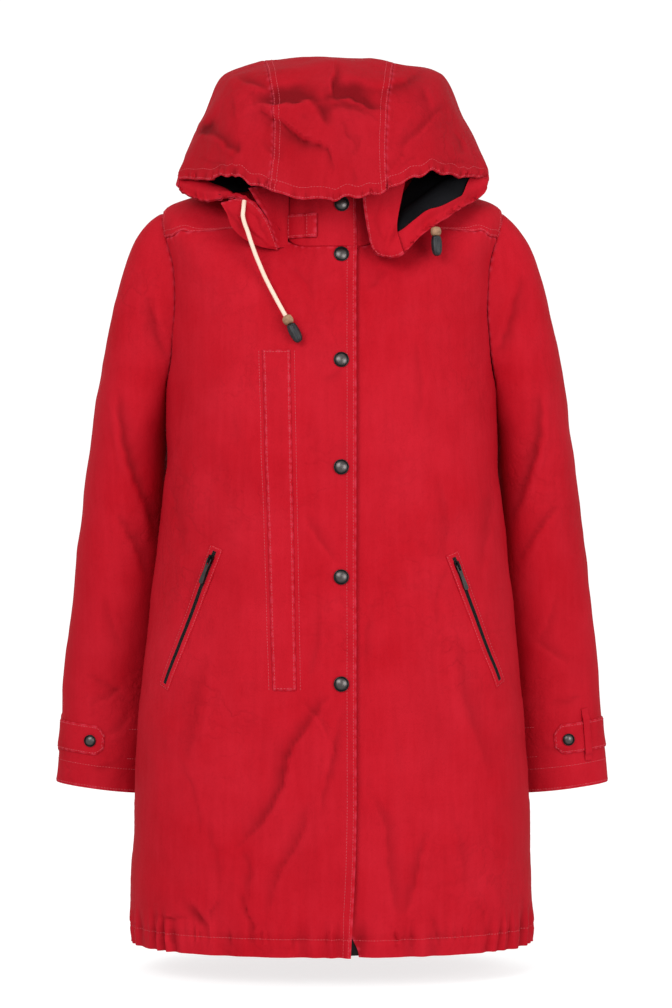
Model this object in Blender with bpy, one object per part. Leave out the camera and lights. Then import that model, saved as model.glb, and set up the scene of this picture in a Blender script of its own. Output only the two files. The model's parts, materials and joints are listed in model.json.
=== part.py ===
"""A hooded parka of dry waxed cotton, empty and filled out as if it were worn.

Metres, +Z up. X runs to the wearer's left, the front faces -Y, and the origin is the middle of the
neck at the height of the neck points, where the wearer's shoulders carry the coat. Each cloth piece
is a thin closed wall on one of four smooth surfaces: the body, the two sleeves, the collar stand and
the hood. What is sewn on a piece is made from the points of its surface, moved out.
"""

import math

import bmesh
import bpy
import numpy as np

# Driving dimensions, in metres and degrees.
CLOTH = 0.0018  # shell cloth with its backing
HOOD_CLOTH = 0.0014
LINING_CLOTH = 0.0010
TRIM = 0.0014  # a welt, tab or loop, folded and pressed
SEAM_GAP = 0.0003
LIFT = 0.0005  # what lies on a panel stands this far off it
FLY_LIFT = 0.0023  # the fly flap passes over the other front
FLY_EDGE_X = 0.0275  # the flap's free edge, from the centre line
FLY_ROOT_X = -0.030  # where the flap starts to rise from the panel
FLY_RISE_WIDTH = 0.022  # and how far on it has its full height
FLAP_COLUMNS_X = (FLY_EDGE_X, 0.010, -0.008, -0.019, FLY_ROOT_X)
LEFT_EDGE_X = 0.010  # the left front's edge under the flap
LEFT_EDGE_OPEN_X = 0.029  # the same edge at the hem, where it turns away
LEFT_EDGE_TURNS = 0.9  # levels above the hem where it starts to
LEFT_STRIP = 0.006  # least width of the strip beside it
SNAP_RADIUS = 0.0085
CUFF_SNAP_RADIUS = 0.0070
CORD_RADIUS = 0.0024
ZIP_TAPE = 0.0012
ZIP_TAPE_X = (-0.012, -0.001)  # the front zip's tape, across, as far as the left front
ZIP_DIP = 0.0006  # how much further in the tape lies under the curved chest
ZIP_DIP_LEVELS = (8, 12)
ZIP_ENDS_LEVELS = (0.05, 0.25)  # its ends from the hem and the neck seam
HEM_CASING = 0.022  # stitch line above the hem's edge

# Body. A row for each level from the hem to the neck seam: the places of the front middle, the side
# and the back middle. A point's level is its row number, with all between the rows.
# front_y, front_z, side_x, side_y, side_z, back_y, back_z, flat
BODY_LEVELS = np.array([
    (-0.1600, -0.871, 0.2270, -0.020, -0.871, 0.1450, -0.871, 2.0),
    (-0.1605, -0.842, 0.2295, -0.020, -0.842, 0.1435, -0.842, 2.0),
    (-0.1600, -0.790, 0.2295, -0.020, -0.790, 0.1400, -0.790, 2.0),
    (-0.1580, -0.714, 0.2270, -0.020, -0.714, 0.1340, -0.714, 2.0),
    (-0.1545, -0.614, 0.2200, -0.020, -0.614, 0.1260, -0.614, 2.0),
    (-0.1500, -0.483, 0.2060, -0.019, -0.483, 0.1190, -0.483, 2.0),
    (-0.1460, -0.345, 0.1925, -0.017, -0.345, 0.1170, -0.345, 2.0),
    (-0.1410, -0.250, 0.1875, -0.014, -0.245, 0.1190, -0.243, 2.0),
    (-0.1360, -0.205, 0.1880, -0.012, -0.165, 0.1200, -0.185, 2.0),
    (-0.1300, -0.172, 0.1895, -0.010, -0.100, 0.1180, -0.138, 2.0),
    (-0.1250, -0.146, 0.1930, -0.008, -0.042, 0.1120, -0.096, 2.0),
    (-0.1205, -0.124, 0.1560, -0.006, -0.021, 0.1010, -0.057, 2.5),
    (-0.1160, -0.105, 0.1120, -0.005, -0.007, 0.0850, -0.023, 3.4),
    (-0.1120, -0.0855, 0.0780, -0.004, 0.000, 0.0660, 0.004, 5.0),
])
FULLNESS = 0.12  # how much squarer than an ellipse a ring of the body is
NECK_LEVEL = 13.0
NECK_HALF_WIDTH = BODY_LEVELS[-1, 2]
CHEST_RADIUS = 0.20  # turns a seam's gap into degrees

# Armhole, on the body's surface: an oval round the side, in degrees round and in levels.
ARMHOLE_LEVEL = 8.53
ARMHOLE_HALF_LEVELS = 1.53
ARMHOLE_FRONT_DEG = 21.0
ARMHOLE_BACK_DEG = 25.0
FRONT_ARM_STEPS = 6
YOKE_ARM_STEPS = 7
BACK_ARM_STEPS = 6
YOKE_FRONT_PHI = 48.0  # where the yoke seams meet the armhole, from its top, round the oval
YOKE_BACK_PHI = 50.0
# Front yoke seam, from the neck to the armhole: degrees round, level.
YOKE_NECK_DEG = 50.0
YOKE_FRONT_SEAM = np.array([(50.0, 12.9), (52.0, 12.1), (54.0, 11.1), (62.5, 9.97), (74.4, 9.554)])
YOKE_BACK_LEVEL = 9.9

# Sleeve of the wearer's left side. A row for each ring below the armhole: its middle, its half
# width across, its half depth from front to back, and how far its outer side is tipped up.
# mid_x, mid_y, mid_z, half_width, half_depth, tip_deg
SLEEVE_RINGS = np.array([
    (0.2322, 0.024, -0.284, 0.0432, 0.0690, 12.0),
    (0.2379, 0.031, -0.352, 0.0476, 0.0640, 10.0),
    (0.2459, 0.037, -0.452, 0.0515, 0.0565, 8.5),
    (0.2565, 0.042, -0.560, 0.0530, 0.0500, 7.5),
    (0.2640, 0.043, -0.642, 0.0532, 0.0455, 7.0),
    (0.2690, 0.043, -0.701, 0.0541, 0.0425, 7.0),
])
CAP_OUT = 0.175  # how strongly the sleeve head leaves the armhole outwards
CAP_DOWN = 0.175  # how strongly it runs down into the first ring
SLEEVE_END = 6.0

# Collar stand: the ring at its top, rising from the neck seam.
COLLAR_TOP_FRONT = (-0.1090, -0.028)
COLLAR_TOP_SIDE = (0.0740, -0.004, 0.049)
COLLAR_TOP_BACK = (0.0590, 0.060)
COLLAR_FROM = 0.018  # share of its height left to the neck seam
COLLAR_TUCK = 0.0036  # how far inside the hood the stand lies
COLLAR_TUCK_DEG = (-28, -44)  # it goes in from the first to the second, and comes out on the left:
COLLAR_UNTUCK_DEG = (-316, -332)
COLLAR_LAP_DEG = (-24, -12)  # where it rises onto the lap

# Hood. Arcs run from its right front corner on the neck seam round to its left one. A row for each
# arc, from the neck seam's back to the rim: its share of the way, then its points. The points of a
# side are given from the middle outwards: on top, at the side, and low by the corner.
# share, mid_y, mid_z
HOOD_MIDDLE = np.array([
    (0.00, 0.0660, 0.0050),
    (0.13, 0.1060, 0.0200),
    (0.29, 0.1330, 0.0750),
    (0.45, 0.0950, 0.1240),
    (0.60, 0.0100, 0.1390),
    (0.74, -0.0840, 0.1200),
    (0.88, -0.1430, 0.0480),
    (1.00, -0.1640, -0.0370),
])
# top_x, top_y, top_z, side_x, side_y, side_z, lap_x, lap_y, lap_z, low_x, low_y, low_z
HOOD_RIGHT = np.array([
    (-0.081, 0.076, 0.020, -0.124, 0.004, 0.004, -0.114, -0.045, -0.004, -0.088, -0.072, -0.034),
    (-0.104, 0.090, 0.076, -0.160, 0.010, 0.016, -0.138, -0.050, -0.003, -0.096, -0.086, -0.038),
    (-0.118, 0.055, 0.115, -0.168, -0.005, 0.020, -0.143, -0.057, -0.008, -0.101, -0.095, -0.040),
    (-0.122, -0.005, 0.122, -0.171, -0.020, 0.014, -0.144, -0.064, -0.014, -0.102, -0.101, -0.039),
    (-0.114, -0.070, 0.099, -0.173, -0.034, 0.006, -0.144, -0.071, -0.020, -0.101, -0.106, -0.038),
    (-0.106, -0.108, 0.048, -0.175, -0.046, -0.002, -0.142, -0.078, -0.027, -0.099, -0.111, -0.036),
    (-0.110, -0.124, -0.008, -0.175, -0.055, -0.010, -0.140, -0.086, -0.035, -0.097, -0.115, -0.0345),
])
HOOD_LEFT = np.array([
    (0.081, 0.076, 0.020, 0.124, 0.004, 0.004, 0.114, -0.045, -0.004, 0.086, -0.072, -0.032),
    (0.106, 0.090, 0.076, 0.161, 0.010, 0.016, 0.138, -0.050, -0.004, 0.095, -0.086, -0.036),
    (0.122, 0.055, 0.116, 0.171, -0.005, 0.021, 0.142, -0.056, -0.003, 0.098, -0.093, -0.034),
    (0.128, -0.005, 0.123, 0.174, -0.018, 0.015, 0.142, -0.062, -0.005, 0.098, -0.099, -0.036),
    (0.122, -0.070, 0.099, 0.176, -0.030, 0.007, 0.144, -0.070, -0.012, 0.097, -0.108, -0.042),
    (0.110, -0.108, 0.048, 0.178, -0.040, 0.000, 0.146, -0.080, -0.025, 0.095, -0.119, -0.054),
    (0.110, -0.125, -0.004, 0.177, -0.048, -0.009, 0.145, -0.088, -0.042, 0.090, -0.129, -0.078),
])
HOOD_STATIONS = np.array([
    0.0, 0.09, 0.18, 0.27, 0.29, 0.345, 0.40, 0.50, 0.60, 0.655, 0.71, 0.73, 0.82, 0.91, 1.0
])
HOOD_NECK_DEG = np.array([
    -44.0, -66.0, -88.0, -110.0, -114.0, -128.0, -145.0,
    -180.0, -215.0, -232.0, -246.0, -250.0, -272.0, -295.0, -327.0,
])
HOOD_FLANK_OUT = 0.002  # how far the flank halfway up a side stands out of the straight
HOOD_SIDE_HALF = np.array([0.0, 0.0, 0.0055])  # half the rounded edge at a side, upwards
# Places along an arc where the walls have points, from a corner to the side edge and the gusset.
HOOD_COLUMNS = np.array([0.05, 0.09, 0.135, 0.18, 0.225, 0.263, 0.28, 0.297, 0.33, 0.37, 0.405])
HOOD_ROUNDNESS = 0.62
HOOD_ROWS = np.array([0.002, 0.06, 0.13, 0.21, 0.30, 0.39, 0.48, 0.57, 0.66, 0.75, 0.83, 0.90, 0.95, 1.0])
HOOD_ABOVE_SEAM = 0.0021
HOOD_SEAM_SHARE = 0.0005  # half the gap at a gusset's seam
HOOD_CORNER_INSET = 0.016  # share of an arc left off at each corner
GUSSET_RIGHT = 0.442
GUSSET_LEFT = 0.553
LINING_SHARES = (0.045, 0.915)  # the lining ends here, before the hood's front corners
LINING_GAP = 0.0035  # share of the way to the rim, on either side of their seam
FACING_IN = 0.0003
FACING_FROM = 0.90  # share of the way to the rim where the lining ends and the facing starts


# What is sewn and set on, placed as seen from the front: (x, z) in metres.
CHEST_WELT = ((-0.0757, -0.202), (-0.0457, -0.202), (-0.0388, -0.578), (-0.0642, -0.578))
HIP_ZIP_RIGHT = ((-0.1295, -0.4250), (-0.1850, -0.5735))
HIP_ZIP_LEFT = ((0.1350, -0.4320), (0.1855, -0.5700))
LIP = 0.0011  # a pocket lip's thickness
WELT_HALF = 0.0085
ZIP_SLOT_HALF = 0.0034
POCKET_ZIP_HALF = 0.0030
ZIP_COIL = 0.0012
SLIDER_AT = 0.010  # from the zip's top
SLIDER_SIZE = (0.0062, 0.0095, 0.0020)  # across, along, out
ZIP_END_GAP = 0.0004
HINGE_ABOVE = 0.0011  # the pull's crossbar above the slider's body
BAIL_HALF = 0.0026
BAIL_BAR = 0.0010
BAIL_WIDTH = 0.0016
BAIL_SUNK = 0.0008  # how deep its feet stand in the slider's body
BAIL_ROUND = 0.0004
PULL_WIDTH = 0.0054
PULL_LENGTH = 0.0290
PULL_THICK = 0.0012
CROSSBAR = 0.0012
SLOT_CLEARANCE = 0.0005
SLOT_END = 0.0062
FLY_SNAP_X = 0.0110
# The fly's snaps below the collar: height, and how much further out each one stands over a fold.
FLY_SNAPS = ((-0.0950, 0.0), (-0.2135, 0.0), (-0.3318, 0.0), (-0.4530, 0.0005), (-0.5706, 0.0005))
COLLAR_SNAP_Z = -0.0385
SNAP_LIFT = 0.0004
# Cuff tabs on the sleeves' surface: angle and row of the tip, and the keeper's angle.
CUFF_TAB_RIGHT = (1.63, 5.06, -0.30)
CUFF_TAB_LEFT = (1.72, 5.03, 0.98)
CUFF_TAB_START = -0.75
CUFF_TAB_HALF_ROWS = 0.25
CUFF_TAB_POINT = 0.20  # angle over which its end narrows
CUFF_TAB_TIP_SHARE = 0.42  # of its width left at the tip
CUFF_SNAP_FROM_TIP = 0.30
KEEPER = 0.0012
KEEPER_HALF = 0.085
# Across the tab in its half widths: the loop lies on the sleeve, then rises and passes over the tab.
KEEPER_PLACES = np.array([-1.75, -1.45, -1.12, 0.0, 1.12, 1.45, 1.75])
KEEPER_RISES = 1.3
COLLAR_TAB_X = (-0.0490, -0.0150)
COLLAR_TAB_Z = (-0.0755, -0.0490)
COLLAR_TAB = 0.0020
# The drawcord's free end: it comes out of the hood's rim and lies on the chest.
CORD_ROUTE = [
    (-0.0969, -0.1156, -0.0355), (-0.0975, -0.1195, -0.0440), (-0.0982, -0.1205, -0.0517),
    (-0.0962, -0.1212, -0.0610), (-0.0931, -0.1216, -0.0694), (-0.0893, -0.1219, -0.0812),
    (-0.0848, -0.1222, -0.0939), (-0.0796, -0.1226, -0.1068), (-0.0742, -0.1236, -0.1194),
    (-0.0682, -0.1262, -0.1316), (-0.0621, -0.1293, -0.1433), (-0.0563, -0.1324, -0.1541),
    (-0.0503, -0.1352, -0.1649),
]
CORD_END_WAY = (0.45, -0.10, -0.85)
LEFT_STOPPER = (0.1160, -0.1155, -0.0650)
LEFT_STOPPER_WAY = (0.05, -0.15, -1.0)


# ---------------------------------------------------------------- curves and surfaces
def through(knots, values, t, roundness=1.0):
    """A smooth curve through the values at the knots, read at t.

    Each stretch is a cubic whose end slopes are those of the parabola through its neighbours, times
    roundness: below 1 the curve runs straighter between the knots and turns harder at them.
    values has the knots on its second last axis, and may have a set of them for each t.
    """
    t = np.asarray(t, float)
    values = np.broadcast_to(values, t.shape + values.shape[-2:])
    slopes = roundness * np.gradient(values, knots, axis=-2)
    low = np.clip(np.searchsorted(knots, t, side="right") - 1, 0, len(knots) - 2)
    step = (knots[low + 1] - knots[low])[..., None]
    part = (t - knots[low])[..., None] / step

    def pick(table, index):
        return np.take_along_axis(table, index[..., None, None], axis=-2)[..., 0, :]

    a, b = pick(values, low), pick(values, low + 1)
    slope_a, slope_b = pick(slopes, low) * step, pick(slopes, low + 1) * step
    square, cube = part**2, part**3
    return (
        (2 * cube - 3 * square + 1) * a
        + (cube - 2 * square + part) * slope_a
        + (3 * square - 2 * cube) * b
        + (cube - square) * slope_b
    )


def ease(low, high, value):
    """0 below low, 1 above high, and a smooth rise between."""
    t = np.clip((np.asarray(value, float) - low) / (high - low), 0, 1)
    return t * t * (3 - 2 * t)


def ring(turn, front_y, front_z, side_x, side_y, side_z, back_y, back_z, flat=2.0):
    """A closed ring at an angle from the front middle: an oval with its own front and back depth.

    Its height runs from the front's or back's to the side's, and stays level longer at a higher flat.
    """
    sine, cosine = np.sin(turn), np.cos(turn)
    end_y = np.where(cosine > 0, front_y, back_y)
    end_z = np.where(cosine > 0, front_z, back_z)
    depth = np.abs(cosine) * (1 + FULLNESS * sine**2)
    x = side_x * sine
    y = side_y + (end_y - side_y) * depth
    z = side_z + (end_z - side_z) * (1 - np.abs(sine) ** flat)
    return np.stack([x, y, z], axis=-1)


def smooth_body(turn, level):
    columns = through(np.arange(len(BODY_LEVELS), dtype=float), BODY_LEVELS, level)
    return ring(turn, *np.moveaxis(columns, -1, 0))


def normals_of(surface, a, b, outward):
    """Unit normals of a surface, from its slopes both ways, turned to the side that outward gives."""
    step = 1e-4
    along = surface(a + step, b) - surface(a - step, b)
    across = surface(a, b + step) - surface(a, b - step)
    normal = np.cross(along, across)
    normal /= np.linalg.norm(normal, axis=-1, keepdims=True)
    return normal * outward


# Largest folds of the front and the sleeves, each a straight soft trough as seen from the front.
# from_x, from_z, to_x, to_z, depth, half_width
BODY_FOLDS = np.array([
    (-0.002, -0.585, -0.092, -0.720, 0.0060, 0.016),
    (-0.092, -0.720, -0.104, -0.820, 0.0050, 0.016),
    (-0.005, -0.610, -0.024, -0.720, 0.0045, 0.013),
    (-0.030, -0.705, -0.076, -0.815, 0.0040, 0.014),
    (0.050, -0.700, 0.070, -0.825, 0.0050, 0.013),
    (0.110, -0.735, 0.078, -0.825, 0.0040, 0.014),
    (0.140, -0.520, 0.175, -0.690, 0.0040, 0.018),
    (-0.140, -0.540, -0.166, -0.665, 0.0035, 0.018),
    (-0.030, -0.380, 0.008, -0.440, 0.0030, 0.014),
])
HEM_GATHERS = 31  # small pleats that the hem's casing is drawn into, all round
HEM_GATHER_DEPTH = 0.0011


def fold_depth(points, folds):
    """How deep the folds press in at each point, read in the front view."""
    total = np.zeros(points.shape[:-1])
    flat = points[..., [0, 2]]
    for from_x, from_z, to_x, to_z, depth, half_width in folds:
        start = np.array([from_x, from_z])
        run = np.array([to_x - from_x, to_z - from_z])
        share = np.clip(((flat - start) @ run) / (run @ run), 0, 1)
        away = np.linalg.norm(flat - start - share[..., None] * run, axis=-1)
        ends = np.sin(math.pi * np.clip(share, 0.08, 0.92)) ** 0.5
        total += depth * ends * np.exp(-((away / half_width) ** 2))
    return total


def body(turn, level):
    """The body's outer surface, with its largest folds and the gathers of its hem."""
    turn, level = np.broadcast_arrays(np.asarray(turn, float), np.asarray(level, float))
    points = smooth_body(turn, level)
    normal = normals_of(smooth_body, turn, level, 1)
    front = ease(0.0, 0.3, np.cos(turn))
    press = fold_depth(points, BODY_FOLDS) * front
    above = points[..., 2] - (BODY_LEVELS[0, 1] + HEM_CASING)
    gather = HEM_GATHER_DEPTH * np.cos(HEM_GATHERS * turn) * np.exp(-((above / 0.020) ** 2))
    return points + normal * (gather - press)[..., None]


def body_normal(turn, level):
    return normals_of(smooth_body, np.asarray(turn, float), np.asarray(level, float), 1)


def armhole(phi):
    """Turn and level of the armhole at an angle from its top; 90 degrees is its front."""
    across = np.sin(phi)
    width = np.where(across > 0, ARMHOLE_FRONT_DEG, ARMHOLE_BACK_DEG)
    turn = np.radians(90 - width * across)
    return turn, ARMHOLE_LEVEL + ARMHOLE_HALF_LEVELS * np.cos(phi)


def sleeve_ring(phi, row):
    columns = through(np.arange(1.0, len(SLEEVE_RINGS) + 1), SLEEVE_RINGS, row)
    mid, half_width, half_depth, tip = (
        columns[..., :3], columns[..., 3], columns[..., 4], np.radians(columns[..., 5])
    )
    out = half_width * np.cos(phi)
    offset = np.stack([out * np.cos(tip), -half_depth * np.sin(phi), out * np.sin(tip)], axis=-1)
    return mid + offset


# from_x, from_z, to_x, to_z, depth, half_width, for each sleeve as seen from the front
RIGHT_SLEEVE_FOLDS = np.array([
    (-0.241, -0.245, -0.236, -0.300, 0.0050, 0.014),
    (-0.236, -0.300, -0.203, -0.415, 0.0060, 0.014),
    (-0.243, -0.383, -0.209, -0.458, 0.0040, 0.012),
    (-0.207, -0.130, -0.188, -0.200, 0.0040, 0.012),
])
LEFT_SLEEVE_FOLDS = np.array([
    (0.241, -0.245, 0.236, -0.300, 0.0050, 0.014),
    (0.236, -0.300, 0.205, -0.395, 0.0060, 0.014),
    (0.262, -0.373, 0.216, -0.446, 0.0045, 0.013),
    (0.220, -0.110, 0.196, -0.190, 0.0040, 0.012),
])


def cap_strength(phi):
    """How strongly the sleeve stands out round the armhole: 1 at its top, little at the underarm."""
    return 0.10 + 0.90 * (0.5 + 0.5 * np.cos(phi))


def smooth_sleeve(phi, row):
    """The wearer's left sleeve: row 0 is the armhole, row 1 the first ring, then on to the cuff.

    From the armhole to the first ring each line is one cubic. It leaves outwards, a little for the
    underarm and strongly for the top, and arrives in the direction of the sleeve.
    """
    phi, row = np.broadcast_arrays(np.asarray(phi, float), np.asarray(row, float))
    below = sleeve_ring(phi, np.maximum(row, 1.0))
    turn, level = armhole(phi)
    start = smooth_body(turn, level)
    end = sleeve_ring(phi, np.ones_like(row))
    top = cap_strength(phi)[..., None]
    leave = CAP_OUT * top * np.array([0.93, 0.0, -0.36])
    slope = sleeve_ring(phi, np.ones_like(row) + 0.01) - end
    slope /= np.linalg.norm(slope, axis=-1, keepdims=True)
    arrive = CAP_DOWN * top * slope
    t = np.clip(row, -0.05, 1.0)[..., None]
    cap = (
        (2 * t**3 - 3 * t**2 + 1) * start
        + (t**3 - 2 * t**2 + t) * leave
        + (3 * t**2 - 2 * t**3) * end
        + (t**3 - t**2) * arrive
    )
    return np.where(row[..., None] > 1, below, cap)


def sleeve(side):
    """The outer surface of one sleeve: side 1 is the wearer's left, -1 the right."""
    folds = LEFT_SLEEVE_FOLDS if side > 0 else RIGHT_SLEEVE_FOLDS

    def surface(phi, row):
        points = smooth_sleeve(phi, row)
        normal = normals_of(smooth_sleeve, phi, row, 1)
        mirror = np.array([side, 1, 1])
        front = ease(-0.2, 0.5, np.sin(phi))
        press = fold_depth(points * mirror, folds) * front
        return (points - normal * press[..., None]) * mirror

    def normal(phi, row):
        return normals_of(smooth_sleeve, phi, row, 1) * np.array([side, 1, 1])

    return surface, normal


def collar(turn, height):
    """The collar stand: height 0 is the neck seam and 1 its top edge."""
    low = smooth_body(turn, np.full_like(turn, NECK_LEVEL))
    high = ring(turn, *COLLAR_TOP_FRONT, *COLLAR_TOP_SIDE, *COLLAR_TOP_BACK)
    height = np.asarray(height, float)[..., None]
    return low + (high - low) * height


def hood_foot(turn):
    """The hood's lower edge, just above the neck seam."""
    return smooth_body(turn, np.full(np.shape(turn), NECK_LEVEL)) + np.array([0, 0, HOOD_ABOVE_SEAM])


def hood_arcs():
    """Every arc's points, station by station: arcs x stations x 3."""
    neck = hood_foot(np.radians(HOOD_NECK_DEG))
    arcs = [neck]
    for middle, right, left in zip(HOOD_MIDDLE[1:], HOOD_RIGHT, HOOD_LEFT):
        half_arcs = []
        for top, side, lap, low in (right.reshape(4, 3), left.reshape(4, 3)):
            flank = (top + side) / 2 + np.sign(top[0]) * np.array([HOOD_FLANK_OUT, 0, 0])
            half_arcs.append([top, flank, side + HOOD_SIDE_HALF, side - HOOD_SIDE_HALF, lap, low])
        mid = [(0.0, middle[1], middle[2])]
        arcs.append(np.concatenate([neck[:1], half_arcs[0][::-1], mid, half_arcs[1], neck[-1:]]))
    return np.array(arcs)


def hood(share, away):
    """The hood's outer surface: share runs along an arc, away from the neck seam (0) to the rim (1).

    Between the stations its first rows are drawn onto the neck seam, which is rounder than the arcs.
    """
    share, away = np.broadcast_arrays(np.asarray(share, float), np.asarray(away, float))
    arcs = hood_arcs()
    stations = arcs.shape[1]
    flat = through(HOOD_MIDDLE[:, 0], arcs.reshape(len(arcs), -1), away)
    points = flat.reshape(share.shape + (stations, 3))
    turn = np.radians(through(HOOD_STATIONS, HOOD_NECK_DEG[:, None], share)[..., 0])
    drawn = hood_foot(turn) - through(HOOD_STATIONS, arcs[0], share, HOOD_ROUNDNESS)
    near = 1 - ease(0.0, HOOD_MIDDLE[1, 0], away)
    return through(HOOD_STATIONS, points, share, HOOD_ROUNDNESS) + drawn * near[..., None]


def hood_normal(share, away):
    return normals_of(hood, np.asarray(share, float), np.asarray(away, float), -1)


def find(surface, x, z, a, b):
    """The a and b where a surface, seen from the front, has the point (x, z), by Newton's steps."""
    x, z = np.broadcast_arrays(np.asarray(x, float), np.asarray(z, float))
    a, b = np.full(x.shape, float(a)), np.full(x.shape, float(b))
    step = 1e-4
    for _ in range(14):
        here = surface(a, b)
        by_a = (surface(a + step, b) - here) / step
        by_b = (surface(a, b + step) - here) / step
        miss_x, miss_z = x - here[..., 0], z - here[..., 2]
        area = by_a[..., 0] * by_b[..., 2] - by_b[..., 0] * by_a[..., 2]
        a = a + np.clip((miss_x * by_b[..., 2] - miss_z * by_b[..., 0]) / area, -0.5, 0.5)
        b = b + np.clip((miss_z * by_a[..., 0] - miss_x * by_a[..., 2]) / area, -1.5, 1.5)
    return a, b


def find_on_body(x, z):
    """Turn and level of the body's front at (x, z) of the front view."""
    return find(smooth_body, x, z, 0.0, 4.0)


# ---------------------------------------------------------------- meshes
def material(name, rgb, roughness, metallic=0.0):
    made = bpy.data.materials.get(name) or bpy.data.materials.new(name)
    made.use_nodes = True
    made.diffuse_color = (*rgb, 1)
    shader = made.node_tree.nodes["Principled BSDF"]
    shader.inputs["Base Color"].default_value = (*rgb, 1)
    shader.inputs["Roughness"].default_value = roughness
    shader.inputs["Metallic"].default_value = metallic
    return made


def shell_cloth():
    return material("shell_cloth", (0.55, 0.012, 0.025), 0.75)


def lining_cloth():
    return material("lining_cloth", (0.010, 0.010, 0.012), 0.85)


def zip_tape():
    return material("zip_tape", (0.012, 0.012, 0.014), 0.7)


def gunmetal():
    return material("gunmetal", (0.10, 0.11, 0.11), 0.35, 1.0)


def cord_yarn():
    return material("cord_yarn", (0.90, 0.62, 0.48), 0.8)


def leather():
    return material("leather", (0.30, 0.16, 0.09), 0.6)


def cord_end_plastic():
    return material("cord_end_plastic", (0.012, 0.012, 0.012), 0.45)


def make(name, points, faces, finish):
    """A mesh object from points and faces, turned right side out by the sign of its volume."""
    points = np.asarray(points, float)
    mesh = bpy.data.meshes.new(name)
    mesh.from_pydata(points.tolist(), [], [list(face) for face in faces])
    grid = bmesh.new()
    grid.from_mesh(mesh)
    if grid.calc_volume(signed=True) < 0:
        bmesh.ops.reverse_faces(grid, faces=grid.faces)
    grid.to_mesh(mesh)
    grid.free()
    mesh.materials.append(finish)
    mesh.shade_smooth()
    mesh.set_sharp_from_angle(angle=math.radians(40))
    made = bpy.data.objects.new(name, mesh)
    bpy.context.scene.collection.objects.link(made)
    return made


def wall(name, outer, inner, finish, tube=False):
    """A closed wall between two grids of points of the same shape, rows by columns.

    A tube's last column joins its first, and its two ends stay open as rims.
    """
    rows, columns = outer.shape[:2]
    points = np.concatenate([outer.reshape(-1, 3), inner.reshape(-1, 3)])
    index = np.arange(rows * columns).reshape(rows, columns)
    if tube:
        index = np.concatenate([index, index[:, :1]], axis=1)
    other = index + rows * columns
    faces = []
    for r in range(index.shape[0] - 1):
        for c in range(index.shape[1] - 1):
            # Both faces are cut along the same diagonal, so walls that share their places never cross.
            for near, way in ((index, 1), (other, -1)):
                first, last = near[r, c], near[r + 1, c + 1]
                faces.append((first, near[r, c + 1], last)[::way])
                faces.append((first, last, near[r + 1, c])[::way])
    for c in range(index.shape[1] - 1):
        faces.append((index[0, c], other[0, c], other[0, c + 1], index[0, c + 1]))
        faces.append((index[-1, c], index[-1, c + 1], other[-1, c + 1], other[-1, c]))
    if not tube:
        for r in range(index.shape[0] - 1):
            faces.append((index[r, 0], index[r + 1, 0], other[r + 1, 0], other[r, 0]))
            faces.append((index[r, -1], other[r, -1], other[r + 1, -1], index[r + 1, -1]))
    return make(name, points, faces, finish)


def cloth(name, surface, normal, a, b, high, thick, finish, tube=False):
    """A wall on a surface: its outer face stands high off it, and its thickness goes inwards."""
    points, out = surface(a, b), normal(a, b)
    high = np.broadcast_to(high, a.shape)[..., None]
    return wall(name, points + out * high, points + out * (high - thick), finish, tube)


# ---------------------------------------------------------------- body panels
def armhole_steps():
    """The angles round the armhole where panels have points: front, yoke and back stretches."""
    front = np.radians(np.linspace(180, YOKE_FRONT_PHI, FRONT_ARM_STEPS + 1))
    yoke = np.radians(np.linspace(YOKE_FRONT_PHI, -YOKE_BACK_PHI, YOKE_ARM_STEPS + 1))
    back = np.radians(np.linspace(-YOKE_BACK_PHI, -180, BACK_ARM_STEPS + 1))
    return front, yoke, back


LOW_LEVELS = np.array([0.0, 0.42, 0.85, 1.4, 1.9, 2.4, 3.0, 3.5, 4.0, 4.5, 5.0, 5.6, 6.3, 7.0])
BACK_COLUMNS = 25
HALF_GAP_DEG = math.degrees(SEAM_GAP / 2 / CHEST_RADIUS)
TOP_GAP_LEVELS = 0.008
SHOULDER_COLUMNS = 6


def yoke_seam_level(turn_deg):
    return through(YOKE_FRONT_SEAM[:, 0], YOKE_FRONT_SEAM[:, 1:], turn_deg)[..., 0]


def side_x_at(level):
    return through(np.arange(len(BODY_LEVELS), dtype=float), BODY_LEVELS[:, 2:3], level)[..., 0]


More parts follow.
